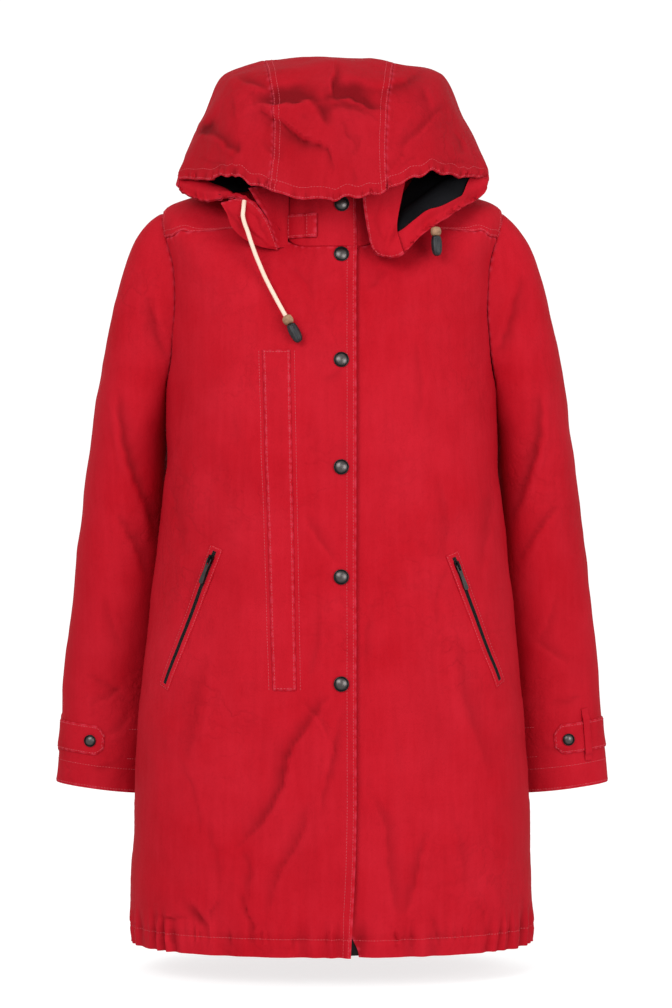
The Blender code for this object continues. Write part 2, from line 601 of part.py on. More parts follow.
def front_grid(side, strip_x, neck_columns, shoulder_columns):
    """Turns and levels of a front, from its edge at the closure to its side seam and armhole.

    The first columns follow strip_x, places across that may depend on the level. The rows above the
    underarm end on the armhole's own points, and the last row follows the neck and the yoke seams.
    """
    arm_turn, arm_level = armhole(armhole_steps()[0])
    arm_turn, arm_level = arm_turn[1:], arm_level[1:]
    end_turn = np.concatenate([np.full(len(LOW_LEVELS), math.pi / 2), arm_turn])
    end_level = np.concatenate([LOW_LEVELS, arm_level])
    base = LOW_LEVELS[-1]
    rise = np.clip((end_level - base) / (end_level[-1] - base), 0, 1)
    strip_level = np.where(end_level <= base, end_level, base + (NECK_LEVEL - base) * rise)
    across = np.array([np.broadcast_to(x(strip_level), strip_level.shape) for x in strip_x]).T
    strip_turn = np.arcsin(across / side_x_at(strip_level)[:, None]) * side

    first, last = math.degrees(strip_turn[-1, -1]), math.degrees(arm_turn[-1])
    top_turn = np.concatenate([
        np.linspace(first, YOKE_NECK_DEG, neck_columns + 1)[1:-1],
        np.linspace(YOKE_NECK_DEG, last, shoulder_columns + 1),
    ])
    share = (top_turn - first) / (last - first)
    top_level = np.where(top_turn < YOKE_NECK_DEG, NECK_LEVEL, yoke_seam_level(top_turn))
    level = np.where(
        end_level[:, None] <= base, end_level[:, None], base + (top_level - base) * rise[:, None]
    )
    turn = strip_turn[:, -1:] + share * (end_turn - strip_turn[:, -1])[:, None]
    turn = np.concatenate([strip_turn, turn], axis=1)
    level = np.concatenate([np.repeat(strip_level[:, None], len(strip_x), axis=1), level], axis=1)
    turn[:, -1] -= math.radians(HALF_GAP_DEG)
    level[-1] -= TOP_GAP_LEVELS
    return turn * side, level


def fly_rise(points_x):
    """How far the right front is lifted over the left one, by its place across."""
    return FLY_LIFT * ease(FLY_ROOT_X, FLY_ROOT_X + FLY_RISE_WIDTH, points_x)


def left_edge_x(level):
    """The left front's edge runs straight under the flap and turns away at the hem."""
    return LEFT_EDGE_X + (LEFT_EDGE_OPEN_X - LEFT_EDGE_X) * (1 - ease(0.0, LEFT_EDGE_TURNS, level))


def left_strip_x(level):
    """The second line of points on the left front, under the flap's edge."""
    return np.maximum(FLY_EDGE_X, left_edge_x(level) + LEFT_STRIP)


def build_fronts():
    flap = [lambda level, x=x: x for x in FLAP_COLUMNS_X]
    turn, level = front_grid(-1, flap, 6, SHOULDER_COLUMNS)
    x = body(turn, level)[..., 0]
    cloth("front_right", body, body_normal, turn, level, fly_rise(x), CLOTH, shell_cloth())

    turn, level = front_grid(1, [left_edge_x, left_strip_x], 6, SHOULDER_COLUMNS)
    cloth("front_left", body, body_normal, turn, level, 0.0, CLOTH, shell_cloth())

    zip_levels = level[:, 0].copy()
    zip_levels[0] += ZIP_ENDS_LEVELS[0]
    zip_levels[-1] -= ZIP_ENDS_LEVELS[1]
    places = (*ZIP_TAPE_X, left_edge_x(zip_levels), left_strip_x(zip_levels))
    x = np.array([np.broadcast_to(place, zip_levels.shape) for place in places]).T
    level = np.broadcast_to(zip_levels[:, None], x.shape)
    turn = np.arcsin(x / side_x_at(level))
    under = -CLOTH - LIFT - ZIP_DIP * ease(*ZIP_DIP_LEVELS, level)
    cloth("front_zip", body, body_normal, turn, level, under, ZIP_TAPE, zip_tape())


def build_back():
    back_phi = armhole_steps()[2]
    arm_turn, arm_level = armhole(back_phi)
    arm_turn, arm_level = arm_turn[:-1][::-1], arm_level[:-1][::-1]
    end_turn = np.concatenate([np.full(len(LOW_LEVELS), math.pi / 2), arm_turn])
    end_level = np.concatenate([LOW_LEVELS, arm_level])
    share = np.linspace(0, 1, BACK_COLUMNS)
    base = LOW_LEVELS[-1]
    top_level = arm_level[-1] + (YOKE_BACK_LEVEL - arm_level[-1]) * np.sin(math.pi * share) ** 0.5
    rise = np.clip((end_level - base) / (end_level[-1] - base), 0, 1)[:, None]
    level = np.where(
        end_level[:, None] <= base, end_level[:, None], base + (top_level - base) * rise
    )
    start = end_turn + math.radians(HALF_GAP_DEG)
    turn = start[:, None] + share * (2 * math.pi - 2 * start)[:, None]
    level[-1] -= TOP_GAP_LEVELS
    cloth("back", body, body_normal, turn, level, 0.0, CLOTH, shell_cloth())


def build_yoke():
    """Over one shoulder, across the back and over the other: a row of columns round the neck."""
    yoke_phi = armhole_steps()[1]
    arm_turn, arm_level = armhole(yoke_phi)
    front_turn = np.radians(
        np.linspace(YOKE_NECK_DEG, math.degrees(arm_turn[0]), SHOULDER_COLUMNS + 1)
    )
    front_low = yoke_seam_level(np.degrees(front_turn))
    share = np.linspace(0, 1, BACK_COLUMNS)[1:-1]
    back_turn = arm_turn[-1] + share * (2 * math.pi - 2 * arm_turn[-1])
    back_low = arm_level[-1] + (YOKE_BACK_LEVEL - arm_level[-1]) * np.sin(math.pi * share) ** 0.5
    half_turn = np.concatenate([front_turn[:-1], arm_turn])
    half_low = np.concatenate([front_low[:-1], arm_level])
    turn = np.concatenate([half_turn, back_turn, 2 * math.pi - half_turn[::-1]])
    low = np.concatenate([half_low, back_low, half_low[::-1]]) + TOP_GAP_LEVELS
    height = np.linspace(0, 1, 5)[:, None]
    level = low + (NECK_LEVEL - low) * height
    turn = np.broadcast_to(turn, level.shape)
    cloth("yoke", body, body_normal, turn, level, 0.0, CLOTH, shell_cloth())


def build_sleeves():
    front, yoke, back = armhole_steps()
    phi = np.concatenate([front[:-1], yoke[:-1], back[:-1]])
    rows = np.array([0.0, 0.13, 0.30, 0.50, 0.72, 1.0, 1.35, 1.7, 2.1, 2.5, 3.0, 3.5, 4.0, 4.6, 5.3,
                     SLEEVE_END])
    row, phi = np.meshgrid(rows, phi, indexing="ij")
    row[0] = 1.4 * SEAM_GAP / (CAP_OUT * cap_strength(phi[0]))
    for side, name in ((-1, "sleeve_right"), (1, "sleeve_left")):
        surface, normal = sleeve(side)
        cloth(name, surface, normal, phi, row, 0.0, CLOTH, shell_cloth(), tube=True)


# ---------------------------------------------------------------- collar and hood
def collar_rise(turn):
    """The stand lies inside the hood, comes out to the neck seam in front, and laps at the fly."""
    degrees = np.degrees(turn)
    inside = ease(*COLLAR_TUCK_DEG, degrees) * (1 - ease(*COLLAR_UNTUCK_DEG, degrees))
    lapped = ease(*COLLAR_LAP_DEG, degrees)
    return FLY_LIFT * lapped - COLLAR_TUCK * inside


def collar_normal(turn, height):
    return normals_of(collar, turn, height, 1)


def build_collar():
    start = math.degrees(math.asin(FLY_EDGE_X / NECK_HALF_WIDTH))
    end = -360 + math.degrees(math.asin(LEFT_EDGE_X / NECK_HALF_WIDTH))
    height, turn = np.meshgrid(
        np.linspace(COLLAR_FROM, 1, 4), np.radians(np.linspace(start, end, 41)), indexing="ij"
    )
    cloth("collar", collar, collar_normal, turn, height, collar_rise(turn), CLOTH, shell_cloth())


def build_hood():
    inset, gap = HOOD_CORNER_INSET, HOOD_SEAM_SHARE
    panels = {
        "hood_right": [inset, *HOOD_COLUMNS, GUSSET_RIGHT - gap],
        "hood_crown": np.linspace(GUSSET_RIGHT + gap, GUSSET_LEFT - gap, 4),
        "hood_left": [GUSSET_LEFT + gap, *(1 - HOOD_COLUMNS[::-1]), 1 - inset],
    }
    for name, shares in panels.items():
        away, share = np.meshgrid(HOOD_ROWS, shares, indexing="ij")
        cloth(name, hood, hood_normal, share, away, 0.0, HOOD_CLOTH, shell_cloth())
    # The lining and the facing take the same places round, so that all walls stay side by side.
    inner = np.concatenate(list(panels.values()))
    under = -HOOD_CLOTH - LIFT
    lined = HOOD_ROWS[HOOD_ROWS < FACING_FROM][1:]
    faced = HOOD_ROWS[HOOD_ROWS > FACING_FROM]
    lining = inner[(inner >= LINING_SHARES[0]) & (inner <= LINING_SHARES[1])]
    away, share = np.meshgrid(np.append(lined, FACING_FROM - LINING_GAP), lining, indexing="ij")
    cloth("hood_lining", hood, hood_normal, share, away, under, LINING_CLOTH, lining_cloth())
    away, share = np.meshgrid(np.append(FACING_FROM + LINING_GAP, faced), inner, indexing="ij")
    under -= FACING_IN
    cloth("hood_facing", hood, hood_normal, share, away, under, LINING_CLOTH, shell_cloth())


# ---------------------------------------------------------------- what is sewn and set on
def ribbon(start, end):
    """A straight band on the body's front between two places of the front view.

    Its first parameter runs along it from 0 to 1, and its second is the distance across, in metres.
    """
    start, end = np.array(start), np.array(end)

    def frame(along):
        x, z = start[0] + along * (end - start)[0], start[1] + along * (end - start)[1]
        turn, level = find_on_body(x, z)
        return body(turn, level), body_normal(turn, level)

    def directions(along):
        step = 1e-3
        out = frame(along)[1]
        run = frame(along + step)[0] - frame(along - step)[0]
        run -= out * (run * out).sum(-1, keepdims=True)
        run /= np.linalg.norm(run, axis=-1, keepdims=True)
        return run, np.cross(out, run), out

    def surface(along, across):
        return frame(along)[0] + directions(along)[1] * np.asarray(across)[..., None]

    def normal(along, across):
        return np.broadcast_to(directions(along)[2], surface(along, across).shape)

    return surface, normal, directions


def box_loop(along, across, along_steps, across_steps):
    """The points of a rectangle's outline, once round, as two lists of parameters."""
    (a0, a1), (b0, b1) = along, across
    run, cross = np.linspace(a0, a1, along_steps + 1), np.linspace(b0, b1, across_steps + 1)
    a = np.concatenate([run[:-1], np.full(across_steps, a1), run[:0:-1], np.full(across_steps, a0)])
    b = np.concatenate([np.full(along_steps, b0), cross[:-1], np.full(along_steps, b1), cross[:0:-1]])
    return a, b


def build_chest_welt():
    top_left, top_right, bottom_right, bottom_left = CHEST_WELT
    down, over = np.meshgrid(np.linspace(0, 1, 13), np.linspace(0, 1, 4), indexing="ij")
    corners = [np.array(c) for c in (top_left, top_right, bottom_right, bottom_left)]
    left = corners[0] + down[..., None] * (corners[3] - corners[0])
    right = corners[1] + down[..., None] * (corners[2] - corners[1])
    place = left + over[..., None] * (right - left)
    turn, level = find_on_body(place[..., 0], place[..., 1])
    cloth("chest_welt", body, body_normal, turn, level, LIFT + TRIM, TRIM, shell_cloth())


def build_hip_pocket(name, start, end):
    """A slanted zip between two lips, with its slider at the top and the pull tab on the slider."""
    surface, normal, directions = ribbon(start, end)
    length = np.linalg.norm(surface(np.array(1.0), 0.0) - surface(np.array(0.0), 0.0))
    end_lip = (WELT_HALF - ZIP_SLOT_HALF) / length
    outer = box_loop((-end_lip, 1 + end_lip), (-WELT_HALF, WELT_HALF), 8, 2)
    inner = box_loop((0.0, 1.0), (-ZIP_SLOT_HALF, ZIP_SLOT_HALF), 8, 2)
    along, across = np.array([outer[0], inner[0]]), np.array([outer[1], inner[1]])
    cloth(f"pocket_welt_{name}", surface, normal, along, across, LIFT + LIP, LIP, shell_cloth(), tube=True)

    edge = ZIP_END_GAP / length
    along, across = np.meshgrid(
        np.linspace(edge, 1 - edge, 9), np.linspace(-POCKET_ZIP_HALF, POCKET_ZIP_HALF, 3), indexing="ij"
    )
    cloth(f"pocket_zip_{name}", surface, normal, along, across, LIFT + ZIP_COIL, ZIP_COIL, zip_tape())

    at = SLIDER_AT / length
    here = np.array(at)
    run, cross, out = directions(here)
    base = surface(here, 0.0) + out * (LIFT + ZIP_COIL + SEAM_GAP)
    frame = np.array([cross, run, out])
    build_slider(f"zip_slider_{name}", base, frame)
    hinge = base + out * (SLIDER_SIZE[2] + HINGE_ABOVE)
    build_pull(f"zip_pull_{name}", hinge, frame)


def local(points, origin, frame):
    """Points of a small piece's own frame (across, along, out) put in place."""
    return origin + np.asarray(points, float) @ frame


def box_points(low, high):
    return [(x, y, z) for x in (low[0], high[0]) for y in (low[1], high[1]) for z in (low[2], high[2])]


BOX_FACES = ((0, 1, 3, 2), (4, 6, 7, 5), (0, 4, 5, 1), (2, 3, 7, 6), (0, 2, 6, 4), (1, 5, 7, 3))


def build_slider(name, base, frame):
    """A slider's body with the arched bail that the pull's crossbar passes under."""
    half_x, half_y, height = SLIDER_SIZE[0] / 2, SLIDER_SIZE[1] / 2, SLIDER_SIZE[2]
    made = make(
        name,
        local(box_points((-half_x, -half_y, 0), (half_x, half_y, height)), base, frame),
        BOX_FACES,
        gunmetal(),
    )
    inside, outside = BAIL_HALF, BAIL_HALF + BAIL_BAR
    top, foot = height + 2 * HINGE_ABOVE, height - BAIL_SUNK
    outer = [
        (-outside, foot), (-outside, top), (-outside + BAIL_BAR, top + BAIL_BAR),
        (outside - BAIL_BAR, top + BAIL_BAR), (outside, top), (outside, foot),
    ]
    inner = [
        (-inside, foot + BAIL_ROUND), (-inside, top - BAIL_ROUND), (-inside + BAIL_ROUND, top),
        (inside - BAIL_ROUND, top), (inside, top - BAIL_ROUND), (inside, foot + BAIL_ROUND),
    ]
    loops = np.array([outer, inner])
    sides = [
        np.concatenate([np.full(loops.shape[:2] + (1,), x), loops], axis=-1)
        for x in (-BAIL_WIDTH / 2, BAIL_WIDTH / 2)
    ]
    bail = wall(f"{name}_bail", local(sides[0], base, frame), local(sides[1], base, frame), gunmetal(), True)
    bail.hide_render = True
    bail.display_type = "WIRE"
    union = made.modifiers.new("bail", "BOOLEAN")
    union.operation = "UNION"
    union.object = bail


def build_pull(name, hinge, frame):
    """A flat tab whose slot leaves a crossbar at the hinge; its free end is rounded."""
    half, bar = PULL_WIDTH / 2, CROSSBAR / 2
    tip = PULL_LENGTH
    outer = [
        (-half, -bar), (half, -bar), (half, tip * 0.35), (half * 0.72, tip * 0.5),
        (half * 0.9, tip - half), (half * 0.45, tip), (-half * 0.45, tip), (-half * 0.9, tip - half),
        (-half * 0.72, tip * 0.5), (-half, tip * 0.35),
    ]
    slot = BAIL_WIDTH / 2 + SLOT_CLEARANCE
    low, high = bar, SLOT_END
    inner = [
        (-slot, low), (slot, low), (slot, high * 0.7), (slot, high * 0.85),
        (slot * 0.6, high * 0.95), (slot * 0.3, high), (-slot * 0.3, high), (-slot * 0.6, high * 0.95),
        (-slot, high * 0.85), (-slot, high * 0.7),
    ]
    loops = np.array([outer, inner])
    faces = [
        np.concatenate([loops, np.full(loops.shape[:2] + (1,), z)], axis=-1)
        for z in (PULL_THICK / 2, -PULL_THICK / 2)
    ]
    wall(name, local(faces[0], hinge, frame), local(faces[1], hinge, frame), gunmetal(), True)


def turned(name, profile, base, axis, finish, segments=10):
    """A body of revolution: profile holds (radius, height) pairs; its two ends close on the axis."""
    axis = np.asarray(axis, float) / np.linalg.norm(axis)
    side = np.cross(axis, (0.3, 0.2, 1.0) if abs(axis[2]) < 0.9 else (1.0, 0.0, 0.0))
    side /= np.linalg.norm(side)
    other = np.cross(axis, side)
    angle = 2 * math.pi * np.arange(segments) / segments
    round_way = np.cos(angle)[:, None] * side + np.sin(angle)[:, None] * other
    points = [base + axis * profile[0][1]]
    for radius, height in profile:
        points.extend(base + axis * height + radius * round_way)
    points.append(base + axis * profile[-1][1])
    last = len(points) - 1
    faces = []
    for k in range(segments):
        after = (k + 1) % segments
        faces.append((0, 1 + after, 1 + k))
        for r in range(len(profile) - 1):
            low, high = 1 + r * segments, 1 + (r + 1) * segments
            faces.append((low + k, low + after, high + after, high + k))
        faces.append((last, last - segments + k, last - segments + after))
    return make(name, points, faces, finish)


def snap(name, place, out, radius, lift):
    """A dome cap with a rolled rim."""
    profile = [
        (radius, 0.0), (radius, 0.0012), (radius * 0.80, 0.0018), (radius * 0.35, 0.0029),
    ]
    turned(name, profile, place + out * lift, out, gunmetal())


def build_snaps():
    turn, height = find(collar, FLY_SNAP_X, COLLAR_SNAP_Z, 0.0, 0.8)
    place, out = collar(turn, height), collar_normal(turn, height)
    snap("fly_snap_1", place, out, SNAP_RADIUS, FLY_LIFT + SNAP_LIFT)
    for number, (z, further) in enumerate(FLY_SNAPS, start=2):
        turn, level = find_on_body(FLY_SNAP_X, z)
        place, out = body(turn, level), body_normal(turn, level)
        snap(f"fly_snap_{number}", place, out, SNAP_RADIUS, FLY_LIFT + SNAP_LIFT + further)


def build_cuff(side, name, tip_phi, tip_row, keeper_phi):
    """The tab that tightens a cuff, with its snap, and the keeper loop that it passes through."""
    surface, normal = sleeve(side)
    half = CUFF_TAB_HALF_ROWS
    reach = np.append(np.linspace(CUFF_TAB_START, tip_phi - CUFF_TAB_POINT, 11), tip_phi)
    across = np.linspace(-1, 1, 4)
    phi = reach[:, None] + 0 * across
    row = tip_row + half * across + 0 * phi
    row[-1] = tip_row + CUFF_TAB_TIP_SHARE * half * across
    cloth(f"cuff_tab_{name}", surface, normal, phi, row, LIFT + TRIM, TRIM, shell_cloth())
    at = np.array(tip_phi - CUFF_SNAP_FROM_TIP), np.array(tip_row)
    snap(
        f"cuff_snap_{name}", surface(*at), normal(*at), CUFF_SNAP_RADIUS, LIFT + TRIM + SNAP_LIFT
    )
    over = np.where(np.abs(KEEPER_PLACES) < KEEPER_RISES, LIFT + TRIM, 0.0)
    about = keeper_phi + KEEPER_HALF * np.array([-1, 0, 1])
    row, phi = np.meshgrid(tip_row + half * KEEPER_PLACES, about, indexing="ij")
    high = np.broadcast_to((LIFT + KEEPER + over)[:, None], row.shape)
    cloth(f"cuff_keeper_{name}", surface, normal, phi, row, high, KEEPER, shell_cloth())


def build_collar_tab():
    """A small buttoned tab across the stand, on the wearer's right of the fly."""
    (x0, x1), (z0, z1) = COLLAR_TAB_X, COLLAR_TAB_Z
    x, z = np.meshgrid(np.linspace(x0, x1, 6), np.linspace(z1, z0, 3), indexing="ij")
    turn, height = find(collar, x, z, 0.0, 0.5)
    high = collar_rise(turn) + 2 * LIFT + COLLAR_TAB
    cloth("collar_tab", collar, collar_normal, turn, height, high, COLLAR_TAB, shell_cloth())


def tube(name, route, radius, finish):
    """A cord: a round tube along a smooth curve through its route."""
    route = np.array(route)
    steps = np.append(0, np.cumsum(np.linalg.norm(np.diff(route, axis=0), axis=1)))
    count = max(4, round(steps[-1] / (4.5 * radius)))
    points = through(steps, route, np.linspace(0, steps[-1], count))
    curve = bpy.data.curves.new(name, "CURVE")
    curve.dimensions = "3D"
    curve.bevel_depth = radius
    curve.bevel_resolution = 2
    curve.use_fill_caps = True
    curve.materials.append(finish)
    spline = curve.splines.new("POLY")
    spline.points.add(len(points) - 1)
    for control, point in zip(spline.points, points):
        control.co = (*point, 1)
    made = bpy.data.objects.new(name, curve)
    bpy.context.scene.collection.objects.link(made)
    return made


STOPPER_PROFILE = [
    (0.0040, 0.0), (0.0062, 0.0018), (0.0066, 0.0050), (0.0060, 0.0082), (0.0038, 0.0098),
]
CORD_END_PROFILE = [
    (0.0036, 0.0), (0.0054, 0.0020), (0.0060, 0.0070), (0.0059, 0.0150), (0.0050, 0.0200),
    (0.0026, 0.0222),
]


def build_drawcord():
    """The right end hangs free on the chest; the left end is pulled up to the hood's rim."""
    tube("drawcord_right", CORD_ROUTE, CORD_RADIUS, cord_yarn())
    route = np.array(CORD_ROUTE)
    way = route[-1] - route[-2]
    way /= np.linalg.norm(way)
    start = route[-1] + way * SEAM_GAP
    turned("cord_stopper_right", STOPPER_PROFILE, start, way, leather())
    end_way = np.array(CORD_END_WAY)
    end_start = start + way * (STOPPER_PROFILE[-1][1] + 0.0007)
    turned("cord_end_right", CORD_END_PROFILE, end_start, end_way, cord_end_plastic())
    left = np.array(LEFT_STOPPER)
    down = np.array(LEFT_STOPPER_WAY)
    turned("cord_stopper_left", STOPPER_PROFILE, left, down, leather())
    down = down / np.linalg.norm(down)
    under = left + down * (STOPPER_PROFILE[-1][1] + SEAM_GAP)
    turned("cord_end_left", CORD_END_PROFILE, under, down, cord_end_plastic())


def clear_scene():
    for thing in list(bpy.data.objects):
        bpy.data.objects.remove(thing)


def main():
    clear_scene()
    build_fronts()
    build_back()
    build_yoke()
    build_sleeves()
    build_collar()
    build_hood()
    build_chest_welt()
    build_hip_pocket("right", *HIP_ZIP_RIGHT)
    build_hip_pocket("left", *HIP_ZIP_LEFT)
    build_snaps()
    build_cuff(-1, "right", *CUFF_TAB_RIGHT)
    build_cuff(1, "left", *CUFF_TAB_LEFT)
    build_collar_tab()
    build_drawcord()


main()
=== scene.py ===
"""Looks of a hooded parka of dry waxed cotton, empty and filled out as if it were worn.

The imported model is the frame, in metres: X runs to the wearer's left, the coat faces -Y, +Z is up, and
the origin is the middle of the neck. Each cloth piece that has a solid is a fine thin shell on the
surface that the solid was made from, with creases, puckers and gathers moved along its normal. The
sheets at the hood's front corners, the seam tapes and the sewing are here only.
"""

import json
import math

import bmesh
import bpy
import numpy as np
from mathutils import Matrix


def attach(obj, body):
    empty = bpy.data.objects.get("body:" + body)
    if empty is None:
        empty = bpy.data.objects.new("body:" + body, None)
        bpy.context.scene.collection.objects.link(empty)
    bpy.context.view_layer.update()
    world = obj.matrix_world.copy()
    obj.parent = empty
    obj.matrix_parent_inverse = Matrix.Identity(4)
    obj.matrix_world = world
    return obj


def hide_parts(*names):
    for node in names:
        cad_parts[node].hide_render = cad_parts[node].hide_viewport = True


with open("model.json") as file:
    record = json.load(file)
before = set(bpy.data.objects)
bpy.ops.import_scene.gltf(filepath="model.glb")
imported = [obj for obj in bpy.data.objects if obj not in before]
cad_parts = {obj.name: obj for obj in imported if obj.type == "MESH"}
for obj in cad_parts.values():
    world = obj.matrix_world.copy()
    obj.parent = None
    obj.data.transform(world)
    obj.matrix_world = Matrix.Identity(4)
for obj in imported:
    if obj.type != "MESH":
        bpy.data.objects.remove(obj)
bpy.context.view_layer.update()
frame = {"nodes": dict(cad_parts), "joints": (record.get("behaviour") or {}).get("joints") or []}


def rings_of_quads(index):
    """Quads between each ring of point numbers and the next; the rows are closed rings."""
    after = np.roll(index, -1, axis=1)
    return np.stack([index[:-1], after[:-1], after[1:], index[1:]], axis=-1).reshape(-1, 4)


def unit(vectors):
    """The vectors at length one."""
    return vectors / np.linalg.norm(vectors, axis=-1, keepdims=True)


def lengths_along(path):
    """Distance along a path at each of its points."""
    return np.append(0.0, np.cumsum(np.linalg.norm(np.diff(path, axis=0), axis=1)))


def paired(a, b):
    """Two parameters as arrays of numbers of one shape."""
    return np.broadcast_arrays(np.asarray(a, float), np.asarray(b, float))


def grid_of(down, across):
    """Two grids of parameters: one changes down the rows, the other across the columns."""
    return np.meshgrid(down, across, indexing="ij")


def read_at(s, far, table):
    """The rows of a table at distances s, where far holds the distance of each of its rows."""
    return np.stack([np.interp(s, far, column) for column in table.T], axis=-1)


# ---------------------------------------------------------------- camera, light and floor
CAMERA_AWAY = 3.5
CAMERA_X, CAMERA_Z = 0.0052, -0.3726
PICTURE_HEIGHT = 1008 * 0.00115  # what the frame's height covers at the coat, in metres
# where it stands, what it faces, its width and height, its watts
LIGHTS = {
    "key_light": ((-1.3, -2.7, 1.0), (0, 0, -0.40), (1.8, 1.6), 56),
    "fill_light": ((1.7, -2.4, -0.1), (0, 0, -0.50), (1.6, 1.6), 44),
    "top_light": ((0.0, -0.2, 2.3), (0, 0, -0.3), (2.2, 1.6), 9),
}
SKY_GLOW = 0.80
FLOOR_Z = -0.905
STUDIO_RADIUS, STUDIO_BEND, STUDIO_HEIGHT, STUDIO_SIDES = 11.0, 3.0, 12.0, 96
FLOOR_GLOW = 0.76  # it is a light table, so the shadow on it stays pale
TURN = 2 * math.pi
SIDES = ((-1, "right"), (1, "left"))


def aimed(thing, place, target):
    """Puts a camera or a light at a place and turns it to face the target."""
    thing.location = place
    way = np.array(target, float) - np.array(place, float)
    flat = math.hypot(way[0], way[1])
    thing.rotation_euler = (math.atan2(flat, -way[2]), 0, math.atan2(-way[0], way[1]))
    bpy.context.scene.collection.objects.link(thing)


def softbox(name, place, target, size, watts):
    """A rectangular light that stands at a place and faces the target."""
    lamp = bpy.data.lights.new(name, "AREA")
    lamp.shape = "RECTANGLE"
    lamp.size, lamp.size_y = size
    lamp.energy = watts
    aimed(bpy.data.objects.new(name, lamp), place, target)


def build_studio():
    """A level camera with a long lens, three soft lights, a pale sky and the floor."""
    camera = bpy.data.cameras.new("camera")
    camera.sensor_width = 36
    camera.lens = 36 * CAMERA_AWAY / PICTURE_HEIGHT
    holder = bpy.data.objects.new("camera", camera)
    aimed(holder, (CAMERA_X, -CAMERA_AWAY, CAMERA_Z), (CAMERA_X, 0, CAMERA_Z))
    bpy.context.scene.camera = holder
    for name, light in LIGHTS.items():
        softbox(name, *light)
    world = bpy.data.worlds.new("studio")
    world.use_nodes = True
    sky = world.node_tree.nodes["Background"].inputs
    sky["Color"].default_value = (1, 1, 1, 1)
    sky["Strength"].default_value = SKY_GLOW
    bpy.context.scene.world = world
    bpy.context.scene.view_settings.view_transform = "Standard"
    build_floor()


def build_floor():
    """A round white floor that curves up into a wall all round. It takes the coat's shadow, but casts
    none of its own and lights nothing.
    """
    angle = np.linspace(0, math.pi / 2, 9)
    away = np.concatenate([[0.6, 1.5, 4.0, STUDIO_RADIUS], STUDIO_RADIUS + STUDIO_BEND * np.sin(angle[1:])])
    rise = np.concatenate([np.zeros(4), STUDIO_BEND * (1 - np.cos(angle[1:]))])
    away, rise = np.append(away, away[-1]), np.append(rise, STUDIO_HEIGHT) + FLOOR_Z
    turn = TURN * np.arange(STUDIO_SIDES) / STUDIO_SIDES
    around = away[:, None] * np.cos(turn), away[:, None] * np.sin(turn), rise[:, None]
    rings = np.stack(np.broadcast_arrays(*around), axis=-1).reshape(-1, 3)
    index = np.arange(len(rings)).reshape(-1, STUDIO_SIDES)
    quads = rings_of_quads(index)[:, ::-1].tolist()
    first = index[0].tolist()
    middle = [[len(rings), i, j] for i, j in zip(first, first[1:] + first[:1])]
    mesh = bpy.data.meshes.new("floor")
    mesh.from_pydata(rings.tolist() + [[0, 0, FLOOR_Z]], [], quads + middle)
    mesh.shade_smooth()
    floor = bpy.data.objects.new("floor", mesh)
    bpy.context.scene.collection.objects.link(floor)
    floor.visible_diffuse = floor.visible_glossy = floor.visible_shadow = False
    finish = Finish("floor_paint")
    finish.surface(base=(0.36, 0.36, 0.36), roughness=0.9)
    finish.link((1, 1, 1), finish.shader.inputs["Emission Color"])
    finish.shader.inputs["Emission Strength"].default_value = FLOOR_GLOW
    mesh.materials.append(finish.material)


# ---------------------------------------------------------------- shader maths
class Socket:
    """A value in a material's nodes. Sums, differences, products and quotients of it add Math nodes."""

    def __init__(self, finish, socket):
        self.finish, self.socket = finish, socket

    def math(self, operation, *values):
        return self.finish.node("ShaderNodeMath", {"operation": operation}, (self, *values))

    def __add__(self, other):
        return self.math("ADD", other)

    __radd__ = __add__

    def __mul__(self, other):
        return self.math("MULTIPLY", other)

    __rmul__ = __mul__

    def __sub__(self, other):
        return self.math("SUBTRACT", other)

    def __rsub__(self, other):
        return self.finish.node("ShaderNodeMath", {"operation": "SUBTRACT"}, (other, self))

    def __truediv__(self, other):
        return self.math("DIVIDE", other)

    def clipped(self):
        return self.finish.node("ShaderNodeMath", {"operation": "ADD", "use_clamp": True}, (self, 0.0))

    def spread(self, low, high):
        """0 where the value is low, 1 where it is high, held at both ends."""
        return ((self - low) / (high - low)).clipped()


